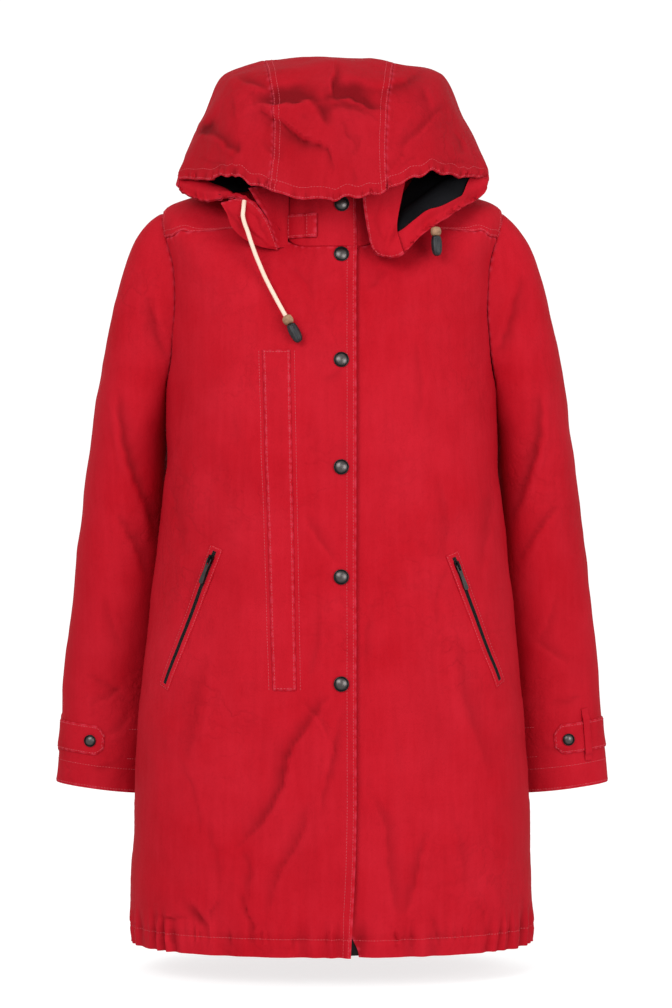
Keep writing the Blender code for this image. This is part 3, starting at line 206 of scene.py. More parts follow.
class Finish:
    """One material: a Principled shader and the nodes that feed it."""

    def __init__(self, name):
        self.material = bpy.data.materials.new(name)
        self.material.use_nodes = True
        self.tree = self.material.node_tree
        self.shader = self.tree.nodes["Principled BSDF"]

    def link(self, value, socket):
        if isinstance(value, Socket):
            self.tree.links.new(value.socket, socket)
        elif isinstance(value, tuple) and len(socket.default_value) == 4:
            socket.default_value = (*value[:3], 1)
        else:
            socket.default_value = value

    def node(self, kind, settings, values=(), output=0):
        """Any node: its settings first, then its inputs, in order or by key. Gives back one output."""
        made = self.tree.nodes.new(kind)
        for setting, value in settings.items():
            setattr(made, setting, value)
        for key, value in values.items() if isinstance(values, dict) else enumerate(values):
            self.link(value, made.inputs[key])
        return Socket(self, made.outputs[output])

    def painted(self, attribute):
        """A number that the mesh carries at each point."""
        return self.node("ShaderNodeAttribute", {"attribute_name": attribute}, output="Fac")

    def noise(self, scale, detail=2.0, stretch=(1.0, 1.0, 1.0), roughness=0.5):
        place = self.node("ShaderNodeTexCoord", {}, output="Object")
        at = self.node("ShaderNodeMapping", {}, {"Vector": place, "Scale": stretch})
        values = {"Vector": at, "Scale": scale, "Detail": detail, "Roughness": roughness}
        return self.node("ShaderNodeTexNoise", {}, values, "Fac")

    def mix(self, share, first, second):
        """A colour between two: share 0 gives the first."""
        return self.node("ShaderNodeMix", {"data_type": "RGBA"}, {0: share, 6: first, 7: second}, 2)

    def bump(self, height, metres, strength=1.0):
        values = {"Height": height, "Distance": metres, "Strength": strength}
        return self.node("ShaderNodeBump", {}, values)

    def surface(self, base, roughness, metallic=0.0, normal=None, sheen=0.0, shine=0.35):
        self.link(base, self.shader.inputs["Base Color"])
        self.link(roughness, self.shader.inputs["Roughness"])
        self.link(metallic, self.shader.inputs["Metallic"])
        self.shader.inputs["Sheen Weight"].default_value = sheen
        self.shader.inputs["Specular IOR Level"].default_value = shine
        if normal is not None:
            self.link(normal, self.shader.inputs["Normal"])
        return self.material


def waxed_cotton(name, cloth, faded, deep):
    """Dry waxed cotton: mottled, faded in upright streaks and rubbed paler at seams. Its creases carry
    painted light: a painted highlight on their ridges, painted shade in their troughs and in fine crinkles.

    press is the height of the creases and sewn edges in millimetres, which sets that painted highlight and
    shade; wear runs from 0 to 1 at a sewn edge.
    """
    finish = Finish(name)
    press, wear = finish.painted("press"), finish.painted("wear")
    mottle = finish.noise(17, 4, roughness=0.6)
    streak = finish.noise(30, 3, stretch=(1, 1, 0.10))
    fine_streak = finish.noise(150, 3, stretch=(1, 1, 0.10), roughness=0.6)
    patch = finish.noise(6, 2)
    fleck = finish.noise(340, 2)
    smudge = finish.noise(13, 3, stretch=(1, 1, 0.38)).spread(0.50, 0.74)
    fade = (0.85 * mottle + 0.20 * streak + 0.45 * patch).spread(0.48, 1.02)
    # ridge and crease: painted highlight on the crease ridges, painted shade in the crease troughs
    ridge = (press * 0.30 + (mottle - 0.5) * 0.5).spread(0.05, 0.9)
    crease = (press * -0.30 + (mottle - 0.5) * 0.25).spread(0.06, 0.95)
    rubbed = (wear * (0.35 + 1.1 * finish.noise(85, 3))).spread(0.22, 0.95)
    # fine crinkles: a bump, with painted shade in its troughs
    crumple = (finish.noise(38, 3, roughness=0.55) - 0.5).math("ABSOLUTE").spread(0.0, 0.07)
    crumpled = finish.noise(9, 2).spread(0.42, 0.72)
    tone = cloth
    for share, colour in (
        (fade * 0.62, faded),
        (ridge * 0.34, faded),
        ((fine_streak - 0.5).spread(0.0, 0.22) * 0.15, faded),
        ((0.5 - fine_streak).spread(0.0, 0.22) * 0.07, deep),
        ((1 - crumple) * crumpled * 0.13, deep),
        (smudge * 0.11, deep),
        (crease * 0.70, deep),
        (rubbed * 0.46, (faded[0] * 1.16, faded[1] * 3.6, faded[2] * 3.0)),
        ((fleck - 0.5).spread(0.05, 0.4) * 0.16, deep),
    ):
        tone = finish.mix(share, tone, colour)
    weave = finish.noise(1500, 1, stretch=(1, 1, 0.6)) * 0.6 + finish.noise(700, 2) * 0.7
    bump = finish.bump(weave + finish.noise(110, 3) * 2.2 + crumple * crumpled * 3.0, 0.00022, 0.7)
    rough = 0.60 + 0.16 * mottle + 0.10 * fleck
    return finish.surface(tone, rough, normal=bump, shine=0.06)


def plain_weave(name, cloth, thread, metres=0.00015):
    """A smooth lining or a zip's tape: fine threads, slightly uneven."""
    finish = Finish(name)
    grain = finish.noise(900, 1, stretch=(1, 1, 0.4))
    fold = finish.noise(26, 3)
    tone = finish.mix((0.5 * grain + 0.5 * fold).spread(0.35, 0.75), cloth, thread)
    return finish.surface(tone, 0.78 + 0.15 * grain, normal=finish.bump(grain, metres, 0.5), shine=0.08)


def thread_finish():
    """Thread of nearly the cloth's red, a little paler."""
    finish = Finish("seam_thread")
    twist = finish.noise(1400, 1)
    tone = finish.mix(twist.spread(0.3, 0.7), (0.42, 0.030, 0.042), (0.56, 0.10, 0.12))
    return finish.surface(tone, 0.8, shine=0.1)


def aged_metal():
    """Dark plated metal, rubbed paler where wear is high, with fine scratches."""
    finish = Finish("aged_gunmetal")
    wear = finish.painted("wear")
    scratch = finish.noise(700, 3, stretch=(1, 1, 0.15))
    cloud = finish.noise(160, 3)
    rubbed = (wear * (0.55 + 0.9 * cloud)).clipped()
    tone = finish.mix(rubbed, (0.009, 0.0088, 0.0095), (0.090, 0.080, 0.078))
    return finish.surface(
        tone, 0.24 + 0.2 * scratch, metallic=0.9, normal=finish.bump(scratch, 0.00005, 0.4)
    )


def cord_finish():
    """Pale braided cotton, with painted shade in the braid's grooves; press is 1 on top of the braid."""
    finish = Finish("braided_cotton")
    groove = finish.painted("press")
    fuzz = finish.noise(1300, 2)
    tone = finish.mix(groove.clipped(), (0.70, 0.44, 0.34), (0.86, 0.62, 0.50))
    return finish.surface(tone, 0.85, normal=finish.bump(fuzz, 0.0001, 0.6), sheen=0.2)


def toggle_finish():
    """Tan leather, cloudy and grained."""
    finish = Finish("tan_leather")
    grain = finish.noise(520, 4)
    cloud = finish.noise(130, 3)
    tone = finish.mix(cloud.spread(0.3, 0.7), (0.17, 0.083, 0.042), (0.40, 0.235, 0.135))
    return finish.surface(tone, 0.5 + 0.25 * grain, normal=finish.bump(grain, 0.0002, 0.5))


def black_rubber():
    """Dull black rubber with a little dust on it."""
    finish = Finish("black_rubber")
    dust = finish.noise(240, 4)
    tone = finish.mix(dust.spread(0.35, 0.8), (0.006, 0.0065, 0.008), (0.022, 0.024, 0.028))
    return finish.surface(tone, 0.38 + 0.25 * dust)


FINISHES = {}
# the red of the cloth itself, where it is faded, and deep: painted shade in a crease, also the colour of
# darker flecks and smudges
SHELL_REDS = ((0.345, 0.0022, 0.0085), (0.435, 0.0110, 0.0230), (0.120, 0.0008, 0.0030))
# The hood's reds: the same cloth, darker all over as painted shade.
SHADED_HOOD_REDS = ((0.298, 0.0017, 0.0068), (0.376, 0.0088, 0.0190), (0.086, 0.0005, 0.0020))


def make_finishes():
    """Every finish once, under the short name that the pieces ask for."""
    FINISHES.update(
        cloth=waxed_cotton("red_waxed_cotton", *SHELL_REDS),
        hood_cloth=waxed_cotton("red_waxed_cotton_hood_shaded", *SHADED_HOOD_REDS),
        lining=plain_weave("black_lining", (0.0030, 0.0030, 0.0038), (0.0070, 0.0070, 0.0088)),
        tape=plain_weave("black_zip_tape", (0.006, 0.006, 0.006), (0.017, 0.016, 0.016), 0.0003),
        thread=thread_finish(),
        metal=aged_metal(),
        cord=cord_finish(),
        toggle=toggle_finish(),
        rubber=black_rubber(),
    )


# ---------------------------------------------------------------- sizes, in metres, as in the solids
CLOTH = 0.0018
HOOD_CLOTH = 0.0014
HOOD_INSIDE = 0.0008  # the lining and the rim's facing
TRIM = 0.0014
SEAM_TAPE = 0.0003
ZIP_TAPE = 0.0010
POCKET_TAPE = 0.0007
SEAM_GAP = 0.0003
LIFT = 0.0005
FLY_LIFT = 0.0023
FLY_EDGE_X = 0.0275
FLY_ROOT_X = -0.030
LEFT_EDGE_X = 0.010
LEFT_EDGE_OPEN_X = 0.0305
SNAP_RADIUS = 0.0085
CUFF_SNAP_RADIUS = 0.0070
CORD_RADIUS = 0.0024
ZIP_TAPE_X = (-0.012, -0.001)
ZIP_LEVELS = (0.05, 12.75)
# the distance between teeth, then a tooth's size across the zip, along it and out
FRONT_TEETH = (0.0030, (0.0050, 0.0019, 0.0016))
POCKET_TEETH = (0.0014, (0.0014, 0.0009, 0.0006))
TEETH_APART = 0.0008  # a row of a pocket's teeth from the zip's middle
TEETH_WEAR = 0.35

# front_y, front_z, side_x, side_y, side_z, back_y, back_z, flat
BODY_LEVELS = np.array([
    (-0.1600, -0.871, 0.2270, -0.020, -0.871, 0.1450, -0.871, 2.0),
    (-0.1605, -0.842, 0.2295, -0.020, -0.842, 0.1435, -0.842, 2.0),
    (-0.1600, -0.790, 0.2295, -0.020, -0.790, 0.1400, -0.790, 2.0),
    (-0.1580, -0.714, 0.2270, -0.020, -0.714, 0.1340, -0.714, 2.0),
    (-0.1545, -0.614, 0.2200, -0.020, -0.614, 0.1260, -0.614, 2.0),
    (-0.1500, -0.483, 0.2060, -0.019, -0.483, 0.1190, -0.483, 2.0),
    (-0.1460, -0.345, 0.1925, -0.017, -0.345, 0.1170, -0.345, 2.0),
    (-0.1410, -0.250, 0.1875, -0.014, -0.245, 0.1190, -0.243, 2.0),
    (-0.1360, -0.205, 0.1880, -0.012, -0.165, 0.1200, -0.185, 2.0),
    (-0.1300, -0.172, 0.1895, -0.010, -0.100, 0.1180, -0.138, 2.0),
    (-0.1250, -0.146, 0.1930, -0.008, -0.042, 0.1120, -0.096, 2.0),
    (-0.1205, -0.124, 0.1560, -0.006, -0.021, 0.1010, -0.057, 2.5),
    (-0.1160, -0.105, 0.1120, -0.005, -0.007, 0.0850, -0.023, 3.4),
    (-0.1120, -0.0855, 0.0780, -0.004, 0.000, 0.0660, 0.004, 5.0),
])
FULLNESS = 0.12
NECK_LEVEL = 13.0
UNDERARM_LEVEL = 7.0
ARMHOLE_LEVEL = 8.53
ARMHOLE_HALF_LEVELS = 1.53
ARMHOLE_FRONT_DEG = 21.0
ARMHOLE_BACK_DEG = 25.0
YOKE_FRONT_PHI = 48.0
YOKE_BACK_PHI = 50.0
YOKE_NECK_DEG = 50.0
YOKE_FRONT_SEAM = np.array([(50.0, 12.9), (52.0, 12.1), (54.0, 11.1), (62.5, 9.97), (74.4, 9.554)])
YOKE_BACK_LEVEL = 9.9
TOP_GAP_LEVELS = 0.008
HALF_GAP_DEG = math.degrees(SEAM_GAP / 2 / 0.20)

# mid_x, mid_y, mid_z, half_width, half_depth, tip_deg
SLEEVE_RINGS = np.array([
    (0.2322, 0.024, -0.284, 0.0432, 0.0690, 12.0),
    (0.2379, 0.031, -0.352, 0.0476, 0.0640, 10.0),
    (0.2459, 0.037, -0.452, 0.0515, 0.0565, 8.5),
    (0.2565, 0.042, -0.560, 0.0530, 0.0500, 7.5),
    (0.2640, 0.043, -0.642, 0.0532, 0.0455, 7.0),
    (0.2690, 0.043, -0.701, 0.0541, 0.0425, 7.0),
])
CAP_OUT = 0.175
CAP_DOWN = 0.175
SLEEVE_END = 6.0

COLLAR_TOP_FRONT = (-0.1090, -0.028)
COLLAR_TOP_SIDE = (0.0740, -0.004, 0.049)
COLLAR_TOP_BACK = (0.0590, 0.060)
COLLAR_TUCK = 0.0036
COLLAR_FOOT_IN = 0.0024

# share, mid_y, mid_z
HOOD_MIDDLE = np.array([
    (0.00, 0.0660, 0.0050),
    (0.13, 0.1060, 0.0200),
    (0.29, 0.1330, 0.0750),
    (0.45, 0.0950, 0.1240),
    (0.60, 0.0100, 0.1390),
    (0.74, -0.0840, 0.1200),
    (0.88, -0.1430, 0.0480),
    (1.00, -0.1640, -0.0370),
])
# top_x, top_y, top_z, side_x, side_y, side_z, lap_x, lap_y, lap_z, low_x, low_y, low_z
HOOD_RIGHT = np.array([
    (-0.081, 0.076, 0.020, -0.124, 0.004, 0.004, -0.114, -0.045, -0.004, -0.088, -0.072, -0.034),
    (-0.104, 0.090, 0.076, -0.160, 0.010, 0.016, -0.138, -0.050, -0.003, -0.096, -0.086, -0.038),
    (-0.118, 0.055, 0.115, -0.168, -0.005, 0.020, -0.143, -0.057, -0.008, -0.101, -0.095, -0.040),
    (-0.122, -0.005, 0.122, -0.171, -0.020, 0.014, -0.144, -0.064, -0.014, -0.102, -0.101, -0.039),
    (-0.114, -0.070, 0.099, -0.173, -0.034, 0.006, -0.144, -0.071, -0.020, -0.101, -0.106, -0.038),
    (-0.106, -0.108, 0.048, -0.175, -0.046, -0.002, -0.142, -0.078, -0.027, -0.099, -0.111, -0.036),
    (-0.110, -0.124, -0.008, -0.175, -0.055, -0.010, -0.140, -0.086, -0.035, -0.097, -0.115, -0.0345),
])
HOOD_LEFT = np.array([
    (0.081, 0.076, 0.020, 0.124, 0.004, 0.004, 0.114, -0.045, -0.004, 0.086, -0.072, -0.032),
    (0.106, 0.090, 0.076, 0.161, 0.010, 0.016, 0.138, -0.050, -0.004, 0.095, -0.086, -0.036),
    (0.122, 0.055, 0.116, 0.171, -0.005, 0.021, 0.142, -0.056, -0.003, 0.098, -0.093, -0.034),
    (0.128, -0.005, 0.123, 0.174, -0.018, 0.015, 0.142, -0.062, -0.005, 0.098, -0.099, -0.036),
    (0.122, -0.070, 0.099, 0.176, -0.030, 0.007, 0.144, -0.070, -0.012, 0.097, -0.108, -0.042),
    (0.110, -0.108, 0.048, 0.178, -0.040, 0.000, 0.146, -0.080, -0.025, 0.095, -0.119, -0.054),
    (0.110, -0.125, -0.004, 0.177, -0.048, -0.009, 0.145, -0.088, -0.042, 0.090, -0.129, -0.078),
])
HOOD_STATIONS = np.array([
    0.0, 0.09, 0.18, 0.27, 0.29, 0.345, 0.40, 0.50, 0.60, 0.655, 0.71, 0.73, 0.82, 0.91, 1.0
])
HOOD_NECK_DEG = np.array([
    -44.0, -66.0, -88.0, -110.0, -114.0, -128.0, -145.0,
    -180.0, -215.0, -232.0, -246.0, -250.0, -272.0, -295.0, -327.0,
])
HOOD_FLANK_OUT = 0.002
HOOD_SIDE_HALF = np.array([0.0, 0.0, 0.0055])
HOOD_ROUNDNESS = 0.62
HOOD_ABOVE_SEAM = 0.0021
HOOD_SEAM_GAP = 0.0001
HOOD_CORNER_INSET = 0.016
HOOD_ROWS, HOOD_SIDE_COLUMNS, HOOD_CROWN_COLUMNS = 156, 128, 46
LINING_BELOW = 0.0016  # how far the lining lies under the hood's cloth
FACING_BELOW, FACING_RISE = 0.0026, 0.0042  # the facing starts under the lining, and rises to the rim
GUSSET_RIGHT = 0.442
GUSSET_LEFT = 0.553
BRIM_HALF_WIDTH = 0.110
BRIM_SAG = 0.0070  # how far the brim hangs below straight lines to its middle
LEFT_LOBE = np.array([-0.006, -0.012, -0.018])  # the left front corner is turned outwards and down
LEFT_CORNER_LIFT = 0.0100
FACING_FROM = 0.90

CHEST_WELT = ((-0.0757, -0.202), (-0.0457, -0.202), (-0.0388, -0.578), (-0.0642, -0.578))
HIP_ZIPS = {
    "right": ((-0.1295, -0.4250), (-0.1850, -0.5735)),
    "left": ((0.1350, -0.4320), (0.1855, -0.5700)),
}
LIP = 0.0011
WELT_HALF = 0.0085
ZIP_SLOT_HALF = 0.0034
ZIP_SHOWN_HALF = 0.0021  # between the lips, which close over the tape
POCKET_ZIP_HALF = 0.0030
SLIDER_AT = 0.010
BAIL_WIDTH = 0.0016
PULL_WIDTH = 0.0054
PULL_LENGTH = 0.0290
PULL_THICK = 0.0012
PULL_WAIST = 0.26  # how much narrower the tab is at its middle, as a share
PULL_WEAR = 0.55
CROSSBAR = 0.0012
SLOT_CLEARANCE = 0.0005
SLOT_END = 0.0062
FLY_SNAP_X = 0.0110
FLY_SNAPS = ((-0.0950, 0.0), (-0.2135, 0.0), (-0.3318, 0.0), (-0.4530, 0.0005), (-0.5706, 0.0005))
COLLAR_SNAP_Z = -0.0385
SNAP_LIFT = 0.0004
# angle and row of the tip, and the keeper's angle
CUFF_TABS = {"right": (1.63, 5.06, -0.30), "left": (1.72, 5.03, 0.98)}
CUFF_TAB_START = -0.75
CUFF_TAB_HALF_ROWS = 0.25
CUFF_TAB_POINT = 0.2
CUFF_SNAP_IN = 0.30
CUFF_TAB_NARROWS = 0.58
KEEPER = 0.0012
KEEPER_HALF = 0.085
KEEPER_REACH = 1.75  # in half widths of the tab
KEEPER_SLACK = 0.0002
KEEPER_WEAR, LIP_WEAR = 0.25, 0.85
COLLAR_TAB_X = (-0.0490, -0.0150)
COLLAR_TAB_Z = (-0.0755, -0.0490)
COLLAR_TAB = 0.0020
COLLAR_TAB_FOLD = 0.0013  # the tab's end is folded over
COLLAR_TAB_FOLD_X = (-0.0275, -0.0262)
CORD_ROUTE = np.array([
    (-0.0969, -0.1156, -0.0355), (-0.0975, -0.1195, -0.0440), (-0.0982, -0.1205, -0.0517),
    (-0.0962, -0.1212, -0.0610), (-0.0931, -0.1216, -0.0694), (-0.0893, -0.1219, -0.0812),
    (-0.0848, -0.1222, -0.0939), (-0.0796, -0.1226, -0.1068), (-0.0742, -0.1236, -0.1194),
    (-0.0682, -0.1262, -0.1316), (-0.0621, -0.1293, -0.1433), (-0.0563, -0.1324, -0.1541),
    (-0.0503, -0.1352, -0.1649),
])
CORD_RING_STEP, CORD_SIDES = 0.00075, 24
BRAID_LONG = 0.0135
CORD_END_WAY = (0.45, -0.10, -0.85)
CORD_END_GAP = 0.0007
LEFT_STOPPER = (0.1160, -0.1155, -0.0650)
LEFT_STOPPER_WAY = (0.05, -0.15, -1.0)
STOPPER_LONG = 0.0098
UNDERARM_Z = -0.262  # where a sleeve touches the body below its seam
UNDERARM_TOUCH = 0.0040
HEM_RADIUS = 0.205  # the hem is about this far from the coat's middle, all round
HEM_STITCHING = 0.0200
HEM_PLEAT = 0.0036

# Kinds of sewn edge: how far the cloth rolls in, the height of its puckers, and their length.
PLAIN_SEAM = (0.0008, 0.00025, 0.0105)
STITCHED_SEAM = (0.0006, 0.00045, 0.0105)
FLAP_EDGE = (0.0005, 0.00030, 0.013)
UNDER_FLAP_EDGE = (0.0004, 0.0002, 0.013)
ARMHOLE_SEAM = (0.0012, 0.00030, 0.012)
CUFF_HEM = (0.0004, 0.00035, 0.014)
COLLAR_END = (0.0005, 0.0002, 0.012)
RIM_CASING = (0.0004, 0.0026, 0.0125)
FACING_CASING = (0.0004, 0.0020, 0.0125)
HOOD_SEAM = (0.0002, 0.0004, 0.0105)
HOOD_CORNER_EDGE = (0.0007, 0.0005, 0.011)
WELT_EDGE = (0.0006, 0.00022, 0.011)
CUFF_TAB_EDGE = (0.0006, 0.00018, 0.010)
COLLAR_TAB_EDGE = (0.0007, 0.0002, 0.012)
RIM_WAVE = 0.0052


# ---------------------------------------------------------------- curves and surfaces
def through(knots, values, t, roundness=1.0):
    """A smooth curve through the values at the knots, read at t.

    Each stretch is a cubic whose end slopes are those of the parabola through its neighbours, times
    roundness: below 1 the curve runs straighter between the knots and turns harder at them.
    values is one table, knots by columns, or has such a table for each t.
    """
    t = np.asarray(t, float)
    slopes = roundness * np.gradient(values, knots, axis=-2)
    low = np.clip(np.searchsorted(knots, t, side="right") - 1, 0, len(knots) - 2)
    step = (knots[low + 1] - knots[low])[..., None]
    part = (t - knots[low])[..., None] / step
    shared = values.ndim == 2

    def pick(table, index):
        if shared:
            return table[index]
        return np.take_along_axis(table, index[..., None, None], axis=-2)[..., 0, :]

    a, b = pick(values, low), pick(values, low + 1)
    slope_a, slope_b = pick(slopes, low) * step, pick(slopes, low + 1) * step
    square, cube = part**2, part**3
    return (
        (2 * cube - 3 * square + 1) * a
        + (cube - 2 * square + part) * slope_a
        + (3 * square - 2 * cube) * b
        + (cube - square) * slope_b
    )


def ease(low, high, value):
    """0 below low, 1 above high, and a smooth rise between."""
    t = np.clip((np.asarray(value, float) - low) / (high - low), 0, 1)
    return t * t * (3 - 2 * t)


def ring(turn, front_y, front_z, side_x, side_y, side_z, back_y, back_z, flat=2.0):
    """A closed oval ring at an angle t from the front middle, with its own front and back depth.

    x = side_x sin t, y = side_y + (end_y - side_y) |cos t| (1 + 0.12 sin^2 t), and
    z = side_z + (end_z - side_z) (1 - |sin t|^flat), where end is front for half the turn, then back.
    """
    sine, cosine = np.sin(turn), np.cos(turn)
    end_y = np.where(cosine > 0, front_y, back_y)
    end_z = np.where(cosine > 0, front_z, back_z)
    depth = np.abs(cosine) * (1 + FULLNESS * sine**2)
    x = side_x * sine
    y = side_y + (end_y - side_y) * depth
    z = side_z + (end_z - side_z) * (1 - np.abs(sine) ** flat)
    return np.stack([x, y, z], axis=-1)


LEVEL_NUMBERS = np.arange(len(BODY_LEVELS), dtype=float)


def smooth_body(turn, level):
    """The body without creases: the ring of the table's columns, read smoothly at the level."""
    columns = through(LEVEL_NUMBERS, BODY_LEVELS, level)
    return ring(turn, *np.moveaxis(columns, -1, 0))


def normals_of(surface, a, b, outward):
    """Unit normals of a surface, from its slopes both ways, turned to the side that outward gives."""
    a, b, step = np.asarray(a, float), np.asarray(b, float), 1e-4
    along = surface(a + step, b) - surface(a - step, b)
    across = surface(a, b + step) - surface(a, b - step)
    return unit(np.cross(along, across)) * outward


def body_normal(turn, level):
    return normals_of(smooth_body, turn, level, 1)


def armhole(phi):
    """Turn and level of the armhole at an angle from its top; 90 degrees is its front."""
    across = np.sin(phi)
    width = np.where(across > 0, ARMHOLE_FRONT_DEG, ARMHOLE_BACK_DEG)
    return np.radians(90 - width * across), ARMHOLE_LEVEL + ARMHOLE_HALF_LEVELS * np.cos(phi)


def sleeve_ring(phi, row):
    """The left sleeve's oval, read from its table at the row, at an angle from its outer side.

    mid + half_width cos(phi) (cos tip, 0, sin tip) - half_depth sin(phi) (0, 1, 0).
    """
    columns = through(np.arange(1.0, len(SLEEVE_RINGS) + 1), SLEEVE_RINGS, row)
    mid, half_width, half_depth, tip = (
        columns[..., :3], columns[..., 3], columns[..., 4], np.radians(columns[..., 5])
    )
    out = half_width * np.cos(phi)
    offset = np.stack([out * np.cos(tip), -half_depth * np.sin(phi), out * np.sin(tip)], axis=-1)
    return mid + offset


def cap_strength(phi):
    """How far the cap swells out of the armhole: fully at the shoulder, a tenth of it underarm."""
    return 0.10 + 0.90 * (0.5 + 0.5 * np.cos(phi))


def smooth_sleeve(phi, row):
    """The wearer's left sleeve: a cubic from the armhole (row 0) to the first ring (row 1), then rings."""
    phi, row = paired(phi, row)
    below = sleeve_ring(phi, np.maximum(row, 1.0))
    turn, level = armhole(phi)
    start = smooth_body(turn, level)
    end = sleeve_ring(phi, np.ones_like(row))
    top = cap_strength(phi)[..., None]
    leave = CAP_OUT * top * np.array([0.93, 0.0, -0.36])
    arrive = CAP_DOWN * top * unit(sleeve_ring(phi, np.ones_like(row) + 0.01) - end)
    t = np.clip(row, -0.05, 1.0)[..., None]
    cap = (
        (2 * t**3 - 3 * t**2 + 1) * start
        + (t**3 - 2 * t**2 + t) * leave
        + (3 * t**2 - 2 * t**3) * end
        + (t**3 - t**2) * arrive
    )
    return np.where(row[..., None] > 1, below, cap)


def sleeve_side(side):
    """Surface and normals of the sleeve on one side: -1 is the wearer's right."""
    mirror = np.array([side, 1, 1])

    def surface(phi, row):
        return smooth_sleeve(phi, row) * mirror

    def normal(phi, row):
        return normals_of(smooth_sleeve, phi, row, 1) * mirror

    return surface, normal


def collar(turn, height):
    """The collar stand: straight lines from the neck seam (height 0) to the ring at its top (1)."""
    low = smooth_body(turn, np.full_like(turn, NECK_LEVEL))
    high = ring(turn, *COLLAR_TOP_FRONT, *COLLAR_TOP_SIDE, *COLLAR_TOP_BACK)
    height = np.asarray(height, float)[..., None]
    return low + (high - low) * height


def collar_normal(turn, height):
    return normals_of(collar, turn, height, 1)


def hood_foot(turn):
    """The hood's lower edge: the neck's ring, a little above the seam."""
    return smooth_body(turn, np.full(np.shape(turn), NECK_LEVEL)) + np.array([0, 0, HOOD_ABOVE_SEAM])


def hood_arcs():
    """Every arc's points, station by station: arcs x stations x 3."""
    neck = hood_foot(np.radians(HOOD_NECK_DEG))
    arcs = [neck]
    for middle, right, left in zip(HOOD_MIDDLE[1:], HOOD_RIGHT, HOOD_LEFT):
        halves = []
        for top, side, lap, low in (right.reshape(4, 3), left.reshape(4, 3)):
            flank = (top + side) / 2 + np.sign(top[0]) * np.array([HOOD_FLANK_OUT, 0, 0])
            halves.append([top, flank, side + HOOD_SIDE_HALF, side - HOOD_SIDE_HALF, lap, low])
        mid = [(0.0, middle[1], middle[2])]
        arcs.append(np.concatenate([neck[:1], halves[0][::-1], mid, halves[1], neck[-1:]]))
    return np.array(arcs)


ARCS = hood_arcs()


def smooth_hood(share, away):
    """The hood: share runs along an arc, away from the neck seam (0) to the rim (1)."""
    share, away = paired(share, away)
    flat = through(HOOD_MIDDLE[:, 0], ARCS.reshape(len(ARCS), -1), away)
    points = flat.reshape(share.shape + (ARCS.shape[1], 3))
    turn = np.radians(through(HOOD_STATIONS, HOOD_NECK_DEG[:, None], share)[..., 0])
    drawn = hood_foot(turn) - through(HOOD_STATIONS, ARCS[0], share, HOOD_ROUNDNESS)
    near = 1 - ease(0.0, HOOD_MIDDLE[1, 0], away)
    points = through(HOOD_STATIONS, points, share, HOOD_ROUNDNESS) + drawn * near[..., None]
    across = np.clip(np.abs(points[..., 0]) / BRIM_HALF_WIDTH, 0, 1)
    sag = BRIM_SAG * 4 * across * (1 - across) * ease(0.78, 1.0, away)
    lobe = ease(0.885, 0.95, share) * (1 - ease(0.975, 0.998, share)) * ease(0.45, 1.0, away)
    lift = LEFT_CORNER_LIFT * ease(0.915, 0.985, share) * ease(0.45, 1.0, away)
    return points + lobe[..., None] * LEFT_LOBE + (lift - sag)[..., None] * np.array([0, 0, 1])


def hood_normal(share, away):
    return normals_of(smooth_hood, share, away, -1)


BODY, COLLAR, HOOD = (smooth_body, body_normal), (collar, collar_normal), (smooth_hood, hood_normal)


def find(surface, x, z, a, b):
    """The a and b where a surface, seen from the front, has the point (x, z), by Newton's steps."""
    x, z = paired(x, z)
    a, b = np.full(x.shape, float(a)), np.full(x.shape, float(b))
    step = 1e-4
    for _ in range(14):
        here = surface(a, b)
        by_a = (surface(a + step, b) - here) / step
        by_b = (surface(a, b + step) - here) / step
        miss_x, miss_z = x - here[..., 0], z - here[..., 2]
        area = by_a[..., 0] * by_b[..., 2] - by_b[..., 0] * by_a[..., 2]
        a = a + np.clip((miss_x * by_b[..., 2] - miss_z * by_b[..., 0]) / area, -0.5, 0.5)
        b = b + np.clip((miss_z * by_a[..., 0] - miss_x * by_a[..., 2]) / area, -1.5, 1.5)
    return a, b


def find_on_body(x, z):
    """Turn and level of the body's front where it is seen at (x, z)."""
    return find(smooth_body, x, z, 0.0, 4.0)
